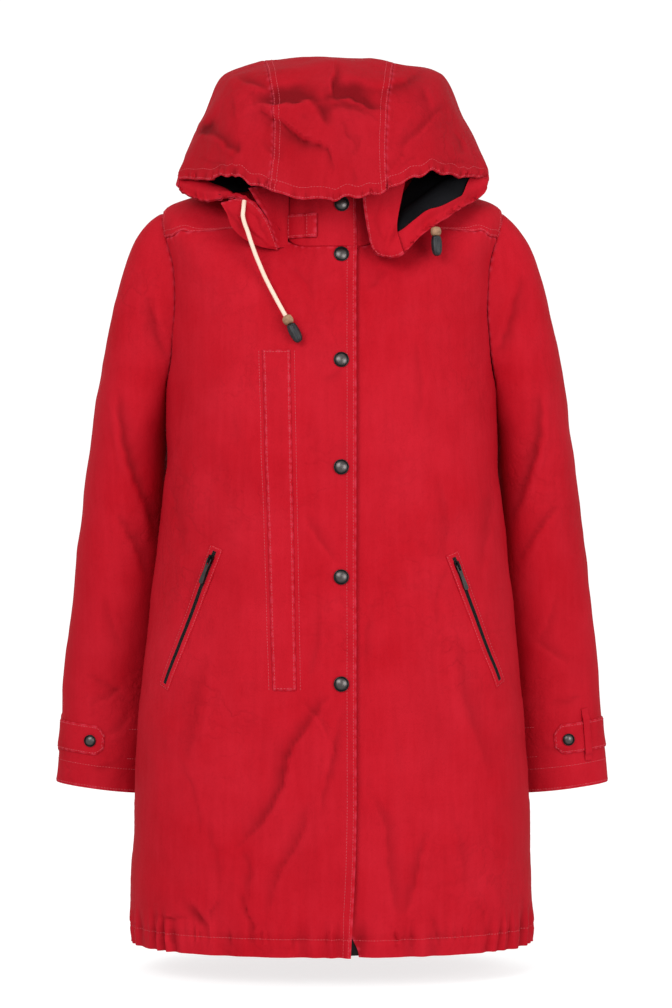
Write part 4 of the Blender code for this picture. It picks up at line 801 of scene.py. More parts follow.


# ---------------------------------------------------------------- creases and unevenness
# As the camera sees them, in millimetres on the plane y = 0: depth, half width, the side of the ridge
# (1 is left of the path's way), then the path.
# Their depths are also painted on the cloth: shade in the troughs, highlight on the ridges.
FRONT_CREASES = (
    (3.0, 4.8, 1, (-2, -591), (-32, -631), (-53, -668), (-59, -697), (-90, -749), (-111, -770)),
    (1.7, 4.6, 1, (-104, -765), (-94, -785), (-96, -815), (-99, -848)),
    (1.6, 3.8, -1, (11, -610), (2, -664), (-10, -712), (-13, -734)),
    (1.9, 4.6, 1, (-25, -712), (-38, -759), (-60, -796), (-75, -848)),
    (1.1, 4.6, 1, (-13, -484), (-17, -543), (-28, -580)),
    (1.2, 5.2, -1, (-32, -382), (-13, -414), (9, -444)),
    (1.6, 5.2, -1, (44, -704), (62, -737), (67, -785), (70, -807), (77, -848)),
    (1.7, 5.2, 1, (113, -745), (101, -777), (94, -814), (82, -848)),
    (1.3, 8.7, -1, (144, -521), (156, -601), (178, -664), (185, -697)),
    (1.3, 8.7, 1, (-142, -543), (-152, -583), (-160, -631), (-171, -675)),
    (1.2, 4.1, 1, (-172, -828), (-160, -842), (-145, -858)),
    (1.0, 4.6, -1, (-50, -97), (-30, -117), (-20, -147)),
    (1.0, 4.6, 1, (64, -100), (48, -121), (37, -131)),
    (0.8, 4.6, 1, (-13, -232), (13, -219)),
    (0.7, 7.5, 1, (-111, -259), (-107, -316)),
    (0.8, 5.2, 1, (96, -180), (104, -230), (98, -290)),
    (0.9, 5.8, -1, (52, -470), (40, -530), (44, -585)),
    (0.9, 7.0, 1, (120, -330), (132, -395), (128, -440)),
    (0.9, 7.0, -1, (-186, -330), (-176, -400), (-168, -450)),
    (1.0, 7.0, 1, (186, -340), (176, -410), (170, -455)),
    (0.9, 5.2, 1, (-150, -730), (-132, -775), (-128, -820)),
    (0.9, 5.2, -1, (140, -735), (152, -780), (150, -822)),
    (2.0, 2.8, 1, (-164, -830), (-154, -845), (-145, -859), (-143, -874)),
    (1.7, 2.8, -1, (-130, -826), (-140, -844), (-144, -859)),
    (1.9, 2.6, 1, (-103, -821), (-97, -842), (-91, -858), (-91, -884)),
    (1.4, 2.2, 1, (-209, -844), (-188, -849), (-163, -846)),
    (1.4, 2.4, -1, (-188, -862), (-183, -881)),
    (1.4, 2.4, 1, (-119, -862), (-114, -883)),
    (1.4, 2.4, 1, (-47, -865), (-44, -890)),
    (1.6, 2.5, 1, (65, -851), (74, -871), (76, -890)),
    (1.4, 2.5, -1, (111, -842), (120, -862), (125, -886)),
    (1.6, 2.5, 1, (172, -830), (177, -856), (173, -881)),
    (1.0, 3.2, -1, (-36, -598), (-11, -623), (5, -662)),
    (0.9, 3.0, 1, (-174, -667), (-156, -713), (-151, -757)),
    (0.8, 3.0, -1, (136, -437), (120, -483), (122, -529)),
)
BACK_CREASES = (
    (2.1, 7.5, 1, (-60, -560), (-20, -610), (10, -680), (18, -760)),
    (1.7, 7.0, -1, (95, -520), (80, -600), (92, -690), (110, -770)),
    (1.6, 7.0, 1, (-120, -500), (-128, -590), (-118, -690)),
    (1.5, 6.4, -1, (20, -130), (60, -190), (90, -270)),
    (1.5, 6.4, 1, (-30, -140), (-70, -200), (-96, -280)),
    (1.2, 5.8, 1, (-20, -330), (0, -400), (-8, -470)),
    (1.2, 5.8, -1, (45, -700), (30, -770), (38, -840)),
    (1.2, 5.8, 1, (-80, -720), (-70, -790), (-84, -845)),
    (1.5, 7.0, 1, (150, -560), (160, -640), (150, -730)),
    (1.3, 7.0, -1, (-165, -560), (-170, -640), (-158, -720)),
)
RIGHT_SLEEVE_CREASES = (
    (2.0, 5.8, 1, (-212, -132), (-203, -174), (-189, -205)),
    (3.0, 5.8, -1, (-247, -242), (-240, -296), (-226, -342), (-208, -388), (-203, -419)),
    (2.0, 5.2, -1, (-249, -383), (-226, -419), (-212, -460)),
    (1.3, 4.1, 1, (-283, -566), (-257, -580), (-232, -598)),
    (1.2, 3.5, -1, (-280, -605), (-252, -591), (-234, -575)),
    (1.2, 3.5, 1, (-277, -678), (-262, -675), (-244, -669)),
    (1.1, 5.2, 1, (-262, -470), (-250, -520), (-238, -545)),
    (1.1, 4.6, 1, (-228, -610), (-246, -632), (-262, -640)),
)
LEFT_SLEEVE_CREASES = (
    (2.0, 5.8, -1, (220, -105), (210, -151), (198, -186), (187, -205)),
    (3.0, 5.8, 1, (241, -242), (239, -296), (220, -355), (205, -396)),
    (2.2, 5.2, 1, (262, -374), (234, -409), (214, -442)),
    (1.3, 4.1, -1, (229, -529), (251, -540), (275, -557)),
    (1.2, 3.5, 1, (248, -601), (270, -598), (289, -592)),
    (1.1, 5.2, -1, (262, -470), (250, -510), (240, -535)),
    (1.0, 4.1, 1, (240, -650), (262, -656), (285, -652)),
)
SLEEVE_BACK_CREASES = (
    (2.1, 6.4, 1, (262, -230), (240, -300), (228, -360)),
    (2.2, 5.8, -1, (275, -380), (246, -420), (222, -445)),
    (1.7, 5.2, 1, (280, -430), (256, -462), (232, -478)),
    (1.3, 4.6, -1, (290, -560), (262, -580), (236, -588)),
    (1.2, 4.6, 1, (232, -620), (262, -634), (292, -628)),
)
HOOD_CREASES = (
    (3.4, 3.0, 1, (-91, 91), (-84, 84), (-71, 74), (-57, 66), (-45, 55), (-34, 47),
     (-18, 41), (-6, 38), (-1, 25), (3, 10)),
    (1.6, 7.0, 1, (-84, 74), (-64, 60), (-41, 45), (-16, 34)),
    (3.8, 4.4, -1, (-89, 93), (-73, 91), (-55, 91), (-40, 92), (-27, 95), (-13, 93)),
    (2.2, 5.0, -1, (-29, 95), (-17, 87), (-9, 78), (-5, 67)),
    (3.0, 3.2, -1, (8, 133), (4, 117), (3, 106), (4, 95)),
    (3.8, 4.6, -1, (-9, 94), (8, 98), (21, 98), (33, 93), (44, 86), (62, 82)),
    (2.6, 5.5, 1, (49, 101), (70, 105), (83, 110), (93, 117), (104, 126)),
    (1.5, 5.0, 1, (104, 110), (106, 95), (112, 80)),
    (1.9, 4.4, 1, (134, 85), (118, 76), (110, 68), (100, 56), (88, 46), (76, 38)),
    (1.2, 2.2, 1, (86, 51), (83, 37), (79, 25), (70, 15), (60, 5)),
    (1.4, 2.2, -1, (11, 67), (16, 56), (24, 45), (30, 37)),
    (1.2, 2.2, 1, (37, 53), (32, 39), (22, 25)),
    (3.2, 3.2, 1, (-160, 55), (-144, 62), (-137, 72)),
    (2.6, 4.4, -1, (-154, 59), (-137, 54), (-126, 47), (-118, 39), (-103, 34)),
    (1.1, 2.2, 1, (-95, 110), (-89, 100), (-90, 85)),
    (1.0, 2.2, 1, (-119, 94), (-114, 84), (-113, 69)),
    (2.2, 3.8, -1, (-110, 122), (-96, 116), (-84, 112), (-71, 110)),
    (1.5, 6.0, 1, (-80, 102), (-65, 106), (-48, 108), (-27, 110)),
    (0.9, 2.0, 1, (-156, 26), (-135, 21), (-112, 16)),
    (0.9, 2.0, -1, (-147, 17), (-121, 11), (-96, 2)),
    (1.3, 6.0, -1, (-84, 48), (-73, 36), (-57, 21)),
    (1.0, 2.2, 1, (24, 18), (28, 6), (26, -9)),
    (1.0, 2.2, -1, (76, 5), (81, 14), (93, 25), (102, 30)),
    (0.9, 2.2, 1, (125, 23), (139, 20), (157, 23)),
    (1.2, 3.0, 1, (139, 55), (148, 44), (154, 28)),
    (1.0, 2.4, -1, (-41, 78), (-29, 71), (-20, 60)),
    (2.6, 7.0, -1, (-91, 98), (-64, 97), (-41, 100), (-20, 102)),
    (2.4, 7.5, -1, (-11, 85), (16, 87), (37, 80), (56, 76)),
    (2.0, 6.0, 1, (3, 108), (28, 107), (51, 101)),
    (1.8, 6.5, -1, (-27, 83), (-11, 74), (-2, 62)),
    (1.4, 5.0, -1, (-119, 23), (-110, 34), (-105, 46)),
)
HOOD_FRONT_CREASES = (
    (1.6, 2.2, 1, (-117, -36), (-102, -47), (-87, -63), (-73, -76)),
    (1.4, 2.2, -1, (-102, -29), (-87, -41), (-78, -59), (-68, -72)),
    (1.2, 2.0, 1, (-122, -31), (-111, -47), (-97, -66)),
    (1.5, 2.4, -1, (76, -48), (71, -61), (64, -76)),
    (0.9, 3.0, 1, (56, -23), (51, -46), (58, -69)),
)
HOOD_BACK_CREASES = (
    (3.5, 7.0, 1, (-90, 90), (-50, 60), (-20, 50)),
    (3.5, 7.0, -1, (90, 95), (60, 62), (24, 44)),
    (2.8, 6.4, 1, (-10, 120), (4, 90), (0, 60)),
    (2.6, 5.8, -1, (-110, 40), (-80, 26), (-50, 30)),
    (2.6, 5.8, 1, (112, 46), (84, 24), (54, 26)),
)
STEEP_SIDE, GENTLE_SIDE = 0.75, 1.6  # widths of a crease's two sides, in its half widths
WANDER = 0.0009  # how far a crease strays from its path
UNEVEN_WAVES = 7


def as_seen(points):
    """Where the camera in front sees a point, on the plane y = 0."""
    far = 1 + points[..., 1] / CAMERA_AWAY
    return np.stack([
        CAMERA_X + (points[..., 0] - CAMERA_X) / far, CAMERA_Z + (points[..., 2] - CAMERA_Z) / far
    ], axis=-1)


def smooth_path(path, count):
    """A smooth curve through the points of a path, read at evenly spaced lengths."""
    steps = lengths_along(path)
    return through(steps, path, np.linspace(0, steps[-1], count))


def crease_height(seen, creases):
    """Height of a set of creases, in metres: sharp troughs, steep under a ridge and gentle opposite.

    At distance d from the path, counted towards the ridge, and half width w, it is depth times
    0.55 exp(-((f - 1.9) / 0.9)^2) - exp(0.22 - 1.25 sqrt(f^2 + 0.03)) where f is d / (0.75 w), but
    d / (1.6 w) on the gentle side. It is faded at both ends of the path, which wanders a little.
    """
    total = np.zeros(seen.shape[:-1])
    wave = TURN * seen
    seen = seen + WANDER * np.stack([
        np.sin(wave[..., 1] / 0.027 + 3 * np.sin(wave[..., 0] / 0.050)),
        np.sin(wave[..., 0] / 0.023 + 3 * np.sin(wave[..., 1] / 0.061)),
    ], axis=-1)
    for depth, half_width, ridge, *path in creases:
        route = smooth_path(np.array(path, float) / 1000, 5 * len(path))
        reach = 5 * half_width / 1000
        low, high = route.min(0) - reach, route.max(0) + reach
        inside = ((seen > low) & (seen < high)).all(-1)
        if not inside.any():
            continue
        start, run = route[:-1], np.diff(route, axis=0)
        length = np.linalg.norm(run, axis=1)
        off = seen[inside][:, None, :] - start
        share = np.clip((off * run).sum(-1) / length**2, 0, 1)
        near = off - share[..., None] * run
        gap = np.linalg.norm(near, axis=-1)
        best = gap.argmin(-1)[:, None]
        gap = np.take_along_axis(gap, best, 1)[:, 0]
        side = np.take_along_axis(run[:, 0] * near[..., 1] - run[:, 1] * near[..., 0], best, 1)[:, 0]
        along = lengths_along(route)[best[:, 0]]
        along += np.take_along_axis(share, best, 1)[:, 0] * length[best[:, 0]]
        fade = np.sin(math.pi * np.clip(along / length.sum(), 0.01, 0.99)) ** 0.6
        far = gap * np.sign(side) * ridge / (half_width / 1000)
        far = far / np.where(far > 0, STEEP_SIDE, GENTLE_SIDE)
        ridge_top = 0.55 * np.exp(-(((far - 1.9) / 0.9) ** 2))
        shape = ridge_top - np.exp(0.22 - 1.25 * np.sqrt(far**2 + 0.03))
        total[inside] += depth / 1000 * fade * shape
    return total


def uneven(points, wavelength, seed):
    """A smooth uneven field, mostly within -1 to 1: cosine waves in seeded directions."""
    rng = np.random.default_rng(seed)
    total = np.zeros(points.shape[:-1])
    for _ in range(UNEVEN_WAVES):
        way = rng.normal(size=3)
        way /= np.linalg.norm(way) * wavelength * rng.uniform(0.7, 1.6)
        total += np.cos(TURN * (points @ way) + rng.uniform(0, TURN))
    return total / math.sqrt(UNEVEN_WAVES)


def slack(points, seed):
    """The cloth's own unevenness, in metres: wide soft hollows and small ripples."""
    sharp = np.abs(uneven(points, 0.075, seed + 2)) - 0.6
    return (
        0.0013 * uneven(points, 0.20, seed)
        + 0.0006 * uneven(points, 0.065, seed + 1)
        - 0.0005 * sharp
        + 0.00012 * uneven(points, 0.022, seed + 3)
    )


def hem_gathers(points, turn):
    """Small uneven pleats that the hem's casing is drawn into, strongest at its stitching and edge."""
    s = TURN * turn * HEM_RADIUS
    wave = np.cos(s / 0.034 + 3.4 * np.sin(s / 0.23) + 2.1 * np.sin(s / 0.097))
    size = 0.55 + 0.45 * np.sin(s / 0.23 + 1.0) * np.sin(s / 0.11)
    fine = np.cos(s / 0.0135 + 3 * np.sin(s / 0.07))
    above = points[..., 2] - BODY_LEVELS[0, 1]
    line = np.exp(-(((above - 0.022) / 0.016) ** 2))
    edge = np.exp(-((above / 0.016) ** 2))
    roll = -0.0012 * np.exp(-(((above - HEM_STITCHING) / 0.0025) ** 2))
    return 0.85 * HEM_PLEAT * wave * size * (line + edge) + 0.0011 * fine * line + roll


def worn_height(turn, level):
    """How far the body's cloth stands off its smooth surface: what its creases add, and the rest."""
    points = smooth_body(turn, level)
    seen = as_seen(points)
    facing = np.cos(turn)
    height = crease_height(seen, FRONT_CREASES) * ease(0.0, 0.35, facing)
    height += crease_height(seen, BACK_CREASES) * ease(0.0, 0.35, -facing)
    touch = UNDERARM_TOUCH / 2 * np.exp(-(((points[..., 2] - UNDERARM_Z) / 0.04) ** 2))
    touch = touch * ease(0.90, 1.0, np.abs(np.sin(turn)))
    gathers = hem_gathers(points, turn)
    # Half of the hem's gathers go with the creases, so they are painted too: highlight on the pleats, shade
    # between them.
    return height + 0.5 * gathers, slack(points, 11) + touch + 0.5 * gathers


def left_front_height(turn, level):
    """As on the body, with a groove that the flap's edge has pressed into the front below it. The groove goes
    with the creases, so it is also painted dark: a painted shadow of the flap's edge.
    """
    creases, rest = worn_height(turn, level)
    beside = smooth_body(turn, level)[..., 0] - fly_edge_x(level) - 0.0018
    return creases - 0.0012 * np.exp(-((beside / 0.0024) ** 2)), rest


def worn_body(turn, level):
    """The body's outer surface with its creases."""
    turn, level = paired(turn, level)
    return smooth_body(turn, level) + body_normal(turn, level) * sum(worn_height(turn, level))[..., None]


def worn_sleeve_height(side):
    """As on the body: a function of the height on the sleeve of one side."""
    own = LEFT_SLEEVE_CREASES if side > 0 else RIGHT_SLEEVE_CREASES

    def height(phi, row):
        points = smooth_sleeve(phi, row) * np.array([side, 1, 1])
        seen, front = as_seen(points), np.sin(phi)
        behind = seen * np.array([side, 1])
        total = crease_height(seen, own) * ease(-0.1, 0.45, front)
        total += crease_height(behind, SLEEVE_BACK_CREASES) * ease(-0.1, 0.45, -front)
        touch = UNDERARM_TOUCH * np.exp(-(((points[..., 2] - UNDERARM_Z) / 0.032) ** 2))
        touch = touch * ease(0.2, 0.9, -np.cos(phi)) * ease(0.0, 0.25, row)
        return total, slack(points, 31 + 7 * side) + touch

    return height


def hood_height(share, away):
    """As on the body: what the hood's creases add, and the rest, both faded out at the neck seam."""
    points, out = smooth_hood(share, away), hood_normal(share, away)
    seen = as_seen(points)
    total = crease_height(seen, HOOD_CREASES) * ease(-0.15, 0.35, -out[..., 1]) * ease(0.25, 0.4, away)
    total += crease_height(seen, HOOD_BACK_CREASES) * ease(0.0, 0.4, out[..., 1])
    edge = ease(0.0, 0.06, away)
    return total * edge, (1.25 * slack(points, 51) + 0.0009 * uneven(points, 0.045, 57)) * edge


# ---------------------------------------------------------------- meshes
EDGES = {
    "first_row": (0, False), "last_row": (0, True), "first_column": (1, False), "last_column": (1, True)
}


def turned_grid(grid, edge):
    """The same grid with the named edge as its first row."""
    axis, flip = EDGES[edge]
    grid = np.swapaxes(grid, 0, 1) if axis else grid
    return grid[::-1] if flip else grid


def back_again(grid, edge):
    """Undoes turned_grid."""
    axis, flip = EDGES[edge]
    grid = grid[::-1] if flip else grid
    return np.swapaxes(grid, 0, 1) if axis else grid


def lengths_down(grid):
    """Distance along each column from the first row."""
    steps = np.linalg.norm(np.diff(grid, axis=0), axis=-1)
    return np.concatenate([np.zeros((1,) + steps.shape[1:]), np.cumsum(steps, axis=0)])


def spaced(grid, rows=True, columns=True):
    """A grid of parameters with two more lines close to each of its edges, for a seam's rolled edge."""
    for axis, wanted in ((0, rows), (1, columns)):
        if not wanted:
            continue
        last = grid.shape[axis] - 1
        at = np.concatenate([[0, 0.25, 0.6], np.arange(1, last), [last - 0.6, last - 0.25, last]])
        low = np.minimum(at.astype(int), last - 1)
        part = (at - low).reshape((-1, 1) if axis == 0 else (1, -1))
        grid = np.take(grid, low, axis) * (1 - part) + np.take(grid, low + 1, axis) * part
    return grid


def sewn_edges(points, edges):
    """Height added near a panel's edges: it rolls in at a seam, and puckers along the stitching.

    At distance d from the edge and s along it, it is -roll exp(-(d / 1.3 mm)^2), plus
    pucker size waves exp(-((d - 4 mm) / (long / 2))^2). The waves are two cosines of s / long and the
    size changes slowly along the edge, so that no two puckers are alike.
    """
    height, wear = np.zeros(points.shape[:2]), np.zeros(points.shape[:2])
    for edge, (roll, pucker, long) in edges.items():
        grid = turned_grid(points, edge)
        far = lengths_down(grid)
        s = TURN * lengths_down(np.swapaxes(grid, 0, 1)).T
        phase = s / long + 1.7 * np.sin(s / 0.061) + 1.1 * np.sin(s / 0.147)
        size = 0.65 + 0.35 * np.sin(s / 0.039 + 1.3)
        band = np.exp(-(((far - 0.004) / (0.5 * long)) ** 2))
        waves = 0.72 * np.cos(phase) + 0.45 * np.cos(1.71 * phase + 2.3 * np.sin(s / 0.083))
        added = -roll * np.exp(-((far / 0.0013) ** 2)) + pucker * size * waves * band
        height += back_again(added, edge)
        near = np.exp(-((far / 0.0035) ** 2)) * (0.55 + 0.45 * np.cos(phase) * (pucker > 0))
        wear = np.maximum(wear, back_again(near, edge))
    return height, wear


def put_mesh(name, points, faces, finish, body="garment", slot="shell_cloth", paint=None, smooth=40):
    """A mesh object that rides on a body, with numbers painted on its points and faces turned outwards."""
    mesh = bpy.data.meshes.new(name)
    mesh.vertices.add(len(points))
    mesh.vertices.foreach_set("co", np.ascontiguousarray(points, dtype=np.float32).ravel())
    sizes = np.array([len(face) for face in faces]) if isinstance(faces, list) else None
    flat = np.concatenate(faces) if sizes is not None else faces.ravel()
    sizes = np.full(len(faces), faces.shape[1]) if sizes is None else sizes
    mesh.loops.add(len(flat))
    mesh.loops.foreach_set("vertex_index", flat.astype(np.int32))
    mesh.polygons.add(len(sizes))
    starts = np.append(0, np.cumsum(sizes)[:-1]).astype(np.int32)
    mesh.polygons.foreach_set("loop_start", starts)
    mesh.update(calc_edges=True)
    mesh.validate()
    shell = bmesh.new()
    shell.from_mesh(mesh)
    if shell.calc_volume(signed=True) < 0:
        bmesh.ops.reverse_faces(shell, faces=shell.faces)
        shell.to_mesh(mesh)
    shell.free()
    for key, values in (paint or {}).items():
        layer = mesh.attributes.new(key, "FLOAT", "POINT")
        layer.data.foreach_set("value", values.astype(np.float32).ravel())
    mesh.shade_smooth()
    mesh.set_sharp_from_angle(angle=math.radians(smooth))
    mesh.materials.append(FINISHES[finish])
    made = bpy.data.objects.new(name, mesh)
    bpy.context.scene.collection.objects.link(made)
    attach(made, body)
    return made


def wall_faces(rows, columns, tube):
    """Quads of a closed wall between two grids, the second grid's points after the first's."""
    index = np.arange(rows * columns).reshape(rows, columns)
    if tube:
        index = np.concatenate([index, index[:, :1]], axis=1)
    other = index + rows * columns

    def quads(a, b, c, d):
        return np.stack([a, b, c, d], axis=-1).reshape(-1, 4)

    faces = [
        quads(index[:-1, :-1], index[:-1, 1:], index[1:, 1:], index[1:, :-1]),
        quads(other[:-1, :-1], other[1:, :-1], other[1:, 1:], other[:-1, 1:]),
        quads(index[0, :-1], other[0, :-1], other[0, 1:], index[0, 1:]),
        quads(index[-1, :-1], index[-1, 1:], other[-1, 1:], other[-1, :-1]),
    ]
    if not tube:
        faces.append(quads(index[:-1, 0], index[1:, 0], other[1:, 0], other[:-1, 0]))
        faces.append(quads(index[:-1, -1], other[:-1, -1], other[1:, -1], index[1:, -1]))
    return np.concatenate(faces)


PANELS = {}  # the outer points and normals of each cloth piece, for the stitching on it
LEAST_FILL = 0.31


def cloth(name, surface, normal, a, b, thick, height=None, high=0.0, edges=None, tube=False,
          finish="cloth", slot="shell_cloth", held="hung", rests_on=(), paint_wear=0.0, solid=True):
    """A fine wall on a smooth surface, raised by its creases and shaped at its sewn edges.

    The cloth's cut is the smooth surface laid flat: the longest row and column, and the true area, kept
    between LEAST_FILL and all of their product.
    """
    smooth, out = surface(a, b), normal(a, b)
    creases, rest = height(a, b) if height else np.zeros((2,) + a.shape)
    added, wear = sewn_edges(smooth, edges or {})
    outer = smooth + out * (creases + rest + added + high)[..., None]
    inner = outer - out * thick
    points = np.concatenate([outer.reshape(-1, 3), inner.reshape(-1, 3)])
    # press carries the creases' and sewn edges' heights, which the cloth's finish paints as light: highlight
    # on ridges, shade in troughs
    press = np.tile(((creases + added) * 1000).ravel(), 2)
    wear = np.tile(np.maximum(wear, paint_wear).ravel(), 2)
    piece = put_mesh(
        f"{name}_cloth", points, wall_faces(*a.shape, tube), finish, slot=slot,
        paint={"press": press, "wear": wear},
    )
    PANELS[name] = (outer, out)
    width = np.linalg.norm(np.diff(smooth, axis=1), axis=-1).sum(1).max()
    length = np.linalg.norm(np.diff(smooth, axis=0), axis=-1).sum(0).max()
    side_a, side_b = smooth[1:, :-1] - smooth[:-1, :-1], smooth[:-1, 1:] - smooth[:-1, :-1]
    area = np.linalg.norm(np.cross(side_a, side_b), axis=-1).sum()
    area = min(max(area, LEAST_FILL * width * length), width * length)
    if held:
        list(rests_on)
    if solid:
        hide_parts(name)
    return piece


# ---------------------------------------------------------------- stitching
STITCH = (0.0034, 0.0025, 0.00034)  # step, length and radius of a stitch


def inset_line(name, edge, inset):
    """The line on a cloth piece at a distance from one of its edges, and the normals along it."""
    outer, out = (turned_grid(grid, edge) for grid in PANELS[name])
    far = lengths_down(outer)
    low = np.clip((far <= inset).sum(0) - 1, 0, len(far) - 2)
    columns = np.arange(outer.shape[1])
    part = ((inset - far[low, columns]) / (far[low + 1, columns] - far[low, columns]))[:, None]
    line = outer[low, columns] * (1 - part) + outer[low + 1, columns] * part
    return line, out[low, columns]


def stitches(line, out):
    """Points and faces of a row of stitches: pinched spindles of three four-sided sections each."""
    step, long, radius = STITCH
    far = lengths_along(line)
    count = max(2, int(far[-1] / step))
    at = (np.arange(count) + 0.5) * far[-1] / count
    ends = np.array([-0.5, 0.0, 0.5])
    centre = read_at((at[:, None] + ends * long).ravel(), far, line).reshape(count, 3, 3)
    up = unit(read_at(at, far, out))
    run = centre[:, 2] - centre[:, 0]
    side = np.cross(run, up)
    side /= np.linalg.norm(side, axis=-1, keepdims=True) + 1e-12
    thick = radius * np.array([0.45, 1.0, 0.45])
    lift = radius * np.array([-0.3, 0.55, -0.3])
    angle = np.arange(4) * math.pi / 2
    spoke = np.cos(angle)[:, None, None] * side + np.sin(angle)[:, None, None] * up  # 4 x count x 3
    spoke = np.moveaxis(spoke, 0, 1)[:, None]
    points = (centre + up[:, None] * lift[:, None])[:, :, None] + spoke * thick[:, None, None]
    rings = rings_of_quads(np.arange(12).reshape(3, 4))
    local = np.concatenate([rings, [[3, 2, 1, 0]], [[8, 9, 10, 11]]])
    return points.reshape(-1, 3), (np.arange(count)[:, None, None] * 12 + local).reshape(-1, 4)


def sew(name, rows):
    """One object of every stitch in the rows, each a line and its normals."""
    points, faces, count = [], [], 0
    for line, out in rows:
        row_points, row_faces = stitches(line, out)
        points.append(row_points)
        faces.append(row_faces + count)
        count += len(row_points)
    return put_mesh(name, np.concatenate(points), np.concatenate(faces), "thread")


# ---------------------------------------------------------------- body
def even_levels(count):
    """Levels from the hem to the underarm, evenly spaced in height."""
    heights = BODY_LEVELS[: int(UNDERARM_LEVEL) + 1, 4]
    levels = np.linspace(0, UNDERARM_LEVEL, 400)
    z = through(LEVEL_NUMBERS, BODY_LEVELS[:, 4:5], levels)[:, 0]
    return np.interp(np.linspace(heights[0], heights[-1], count), z, levels)


def side_x_at(level):
    """Half the body's width at the level."""
    return through(LEVEL_NUMBERS, BODY_LEVELS[:, 2:3], level)[..., 0]


def yoke_seam_level(turn_deg):
    """The level of the yoke's seam across the front, at an angle in degrees."""
    return through(YOKE_FRONT_SEAM[:, 0], YOKE_FRONT_SEAM[:, 1:], turn_deg)[..., 0]


def left_edge_x(level):
    """The left front's edge: under the flap, but past it at the hem, where a slit opens between them."""
    return LEFT_EDGE_X + (LEFT_EDGE_OPEN_X - LEFT_EDGE_X) * (1 - ease(0.0, 1.9, level))


def left_fold_x(level):
    """Where the left front's turned edge ends, under the flap."""
    return np.maximum(FLY_EDGE_X, left_edge_x(level) + 0.006)


def back_seam_level(start, share):
    """The yoke's seam across the back: it rises from the armholes to its middle."""
    return start + (YOKE_BACK_LEVEL - start) * np.sin(math.pi * share) ** 0.5


def yoke_seam():
    """Turns and levels of the yoke's seam: on the left front, down the left armhole, and on the back."""
    arm_turn, arm_level = armhole(YOKE_PHI)
    front_turn = np.radians(np.linspace(YOKE_NECK_DEG, math.degrees(arm_turn[0]), 45))
    share = np.linspace(0, 1, BACK_COLUMNS)[1:-1]
    back_turn = arm_turn[-1] + share * (TURN - 2 * arm_turn[-1])
    front, back = yoke_seam_level(np.degrees(front_turn)), back_seam_level(arm_level[-1], share)
    return (front_turn, front), (arm_turn, arm_level), (back_turn, back)


def levels_up(end_level, top_level):
    """Levels of a grid whose rows are level up to the underarm, and from there spread to the top line."""
    end_level = end_level[:, None]
    rise = np.clip((end_level - UNDERARM_LEVEL) / (end_level[-1] - UNDERARM_LEVEL), 0, 1)
    above = UNDERARM_LEVEL + (top_level - UNDERARM_LEVEL) * rise
    return np.where(end_level <= UNDERARM_LEVEL, end_level, above)


def fly_rise(x):
    """The flap passes over the other front, and its free edge stands a little further off."""
    return FLY_LIFT * ease(FLY_ROOT_X, FLY_ROOT_X + 0.022, x) + 0.0020 * ease(0.0135, 0.0265, x)


def fly_edge_x(level):
    """The flap's free edge: straight down to the hips, then swinging away towards the hem."""
    return FLY_EDGE_X - 0.0060 * (1 - ease(0.0, 3.2, level))


LOW_LEVELS = even_levels(205)
FRONT_PHI = np.radians(np.linspace(180, YOKE_FRONT_PHI, 76))
YOKE_PHI = np.radians(np.linspace(YOKE_FRONT_PHI, -YOKE_BACK_PHI, 41))
BACK_PHI = np.radians(np.linspace(-YOKE_BACK_PHI, -180, 60))
BACK_COLUMNS = 131


def front_grid(side, strip_x, neck_columns, shoulder_columns):
    """Turns and levels of a front, from its edge at the closure to its side seam and armhole.

    The first columns follow strip_x, places across for each level. The rows above the underarm end on
    the armhole, and the last row follows the neck and the yoke seam.
    """
    arm_turn, arm_level = (table[1:] for table in armhole(FRONT_PHI))
    end_turn = np.concatenate([np.full(len(LOW_LEVELS), math.pi / 2), arm_turn])
    end_level = np.concatenate([LOW_LEVELS, arm_level])
    strip_level = levels_up(end_level, NECK_LEVEL)[:, 0]
    across = strip_x(strip_level)
    strip_turn = np.arcsin(across / side_x_at(strip_level)[:, None]) * side
    first, last = math.degrees(strip_turn[-1, -1]), math.degrees(arm_turn[-1])
    top_turn = np.concatenate([
        np.linspace(first, YOKE_NECK_DEG, neck_columns + 1)[1:-1],
        np.linspace(YOKE_NECK_DEG, last, shoulder_columns + 1),
    ])
    share = (top_turn - first) / (last - first)
    top_level = np.where(top_turn < YOKE_NECK_DEG, NECK_LEVEL, yoke_seam_level(top_turn))
    level = levels_up(end_level, top_level)
    turn = strip_turn[:, -1:] + share * (end_turn - strip_turn[:, -1])[:, None]
    turn = np.concatenate([strip_turn, turn], axis=1)
    level = np.concatenate([np.repeat(strip_level[:, None], across.shape[1], axis=1), level], axis=1)
    turn[:, -1] -= math.radians(HALF_GAP_DEG)
    level[-1] -= TOP_GAP_LEVELS
    return spaced(turn * side), spaced(level)


def build_fronts():
    """The right front with its flap, and the left front with the strip that the flap covers."""
    share = np.linspace(0, 1, 23)

    def flap(at):
        edge = fly_edge_x(at)[:, None]
        return edge + (FLY_ROOT_X - edge) * share

    def under_flap(at):
        edge, fold = left_edge_x(at)[:, None], left_fold_x(at)[:, None]
        return edge + (fold - edge) * np.linspace(0, 1, 6)

    turn, level = front_grid(-1, flap, 42, 52)
    seams = {"last_column": PLAIN_SEAM, "last_row": STITCHED_SEAM}
    cloth(
        "front_right", *BODY, turn, level, CLOTH, worn_height,
        high=fly_rise(smooth_body(turn, level)[..., 0]), rests_on=["yoke"],
        edges={"first_column": FLAP_EDGE} | seams,
    )
    turn, level = front_grid(1, under_flap, 46, 58)
    cloth(
        "front_left", *BODY, turn, level, CLOTH, left_front_height, rests_on=["yoke"],
        edges={"first_column": UNDER_FLAP_EDGE} | seams,
    )


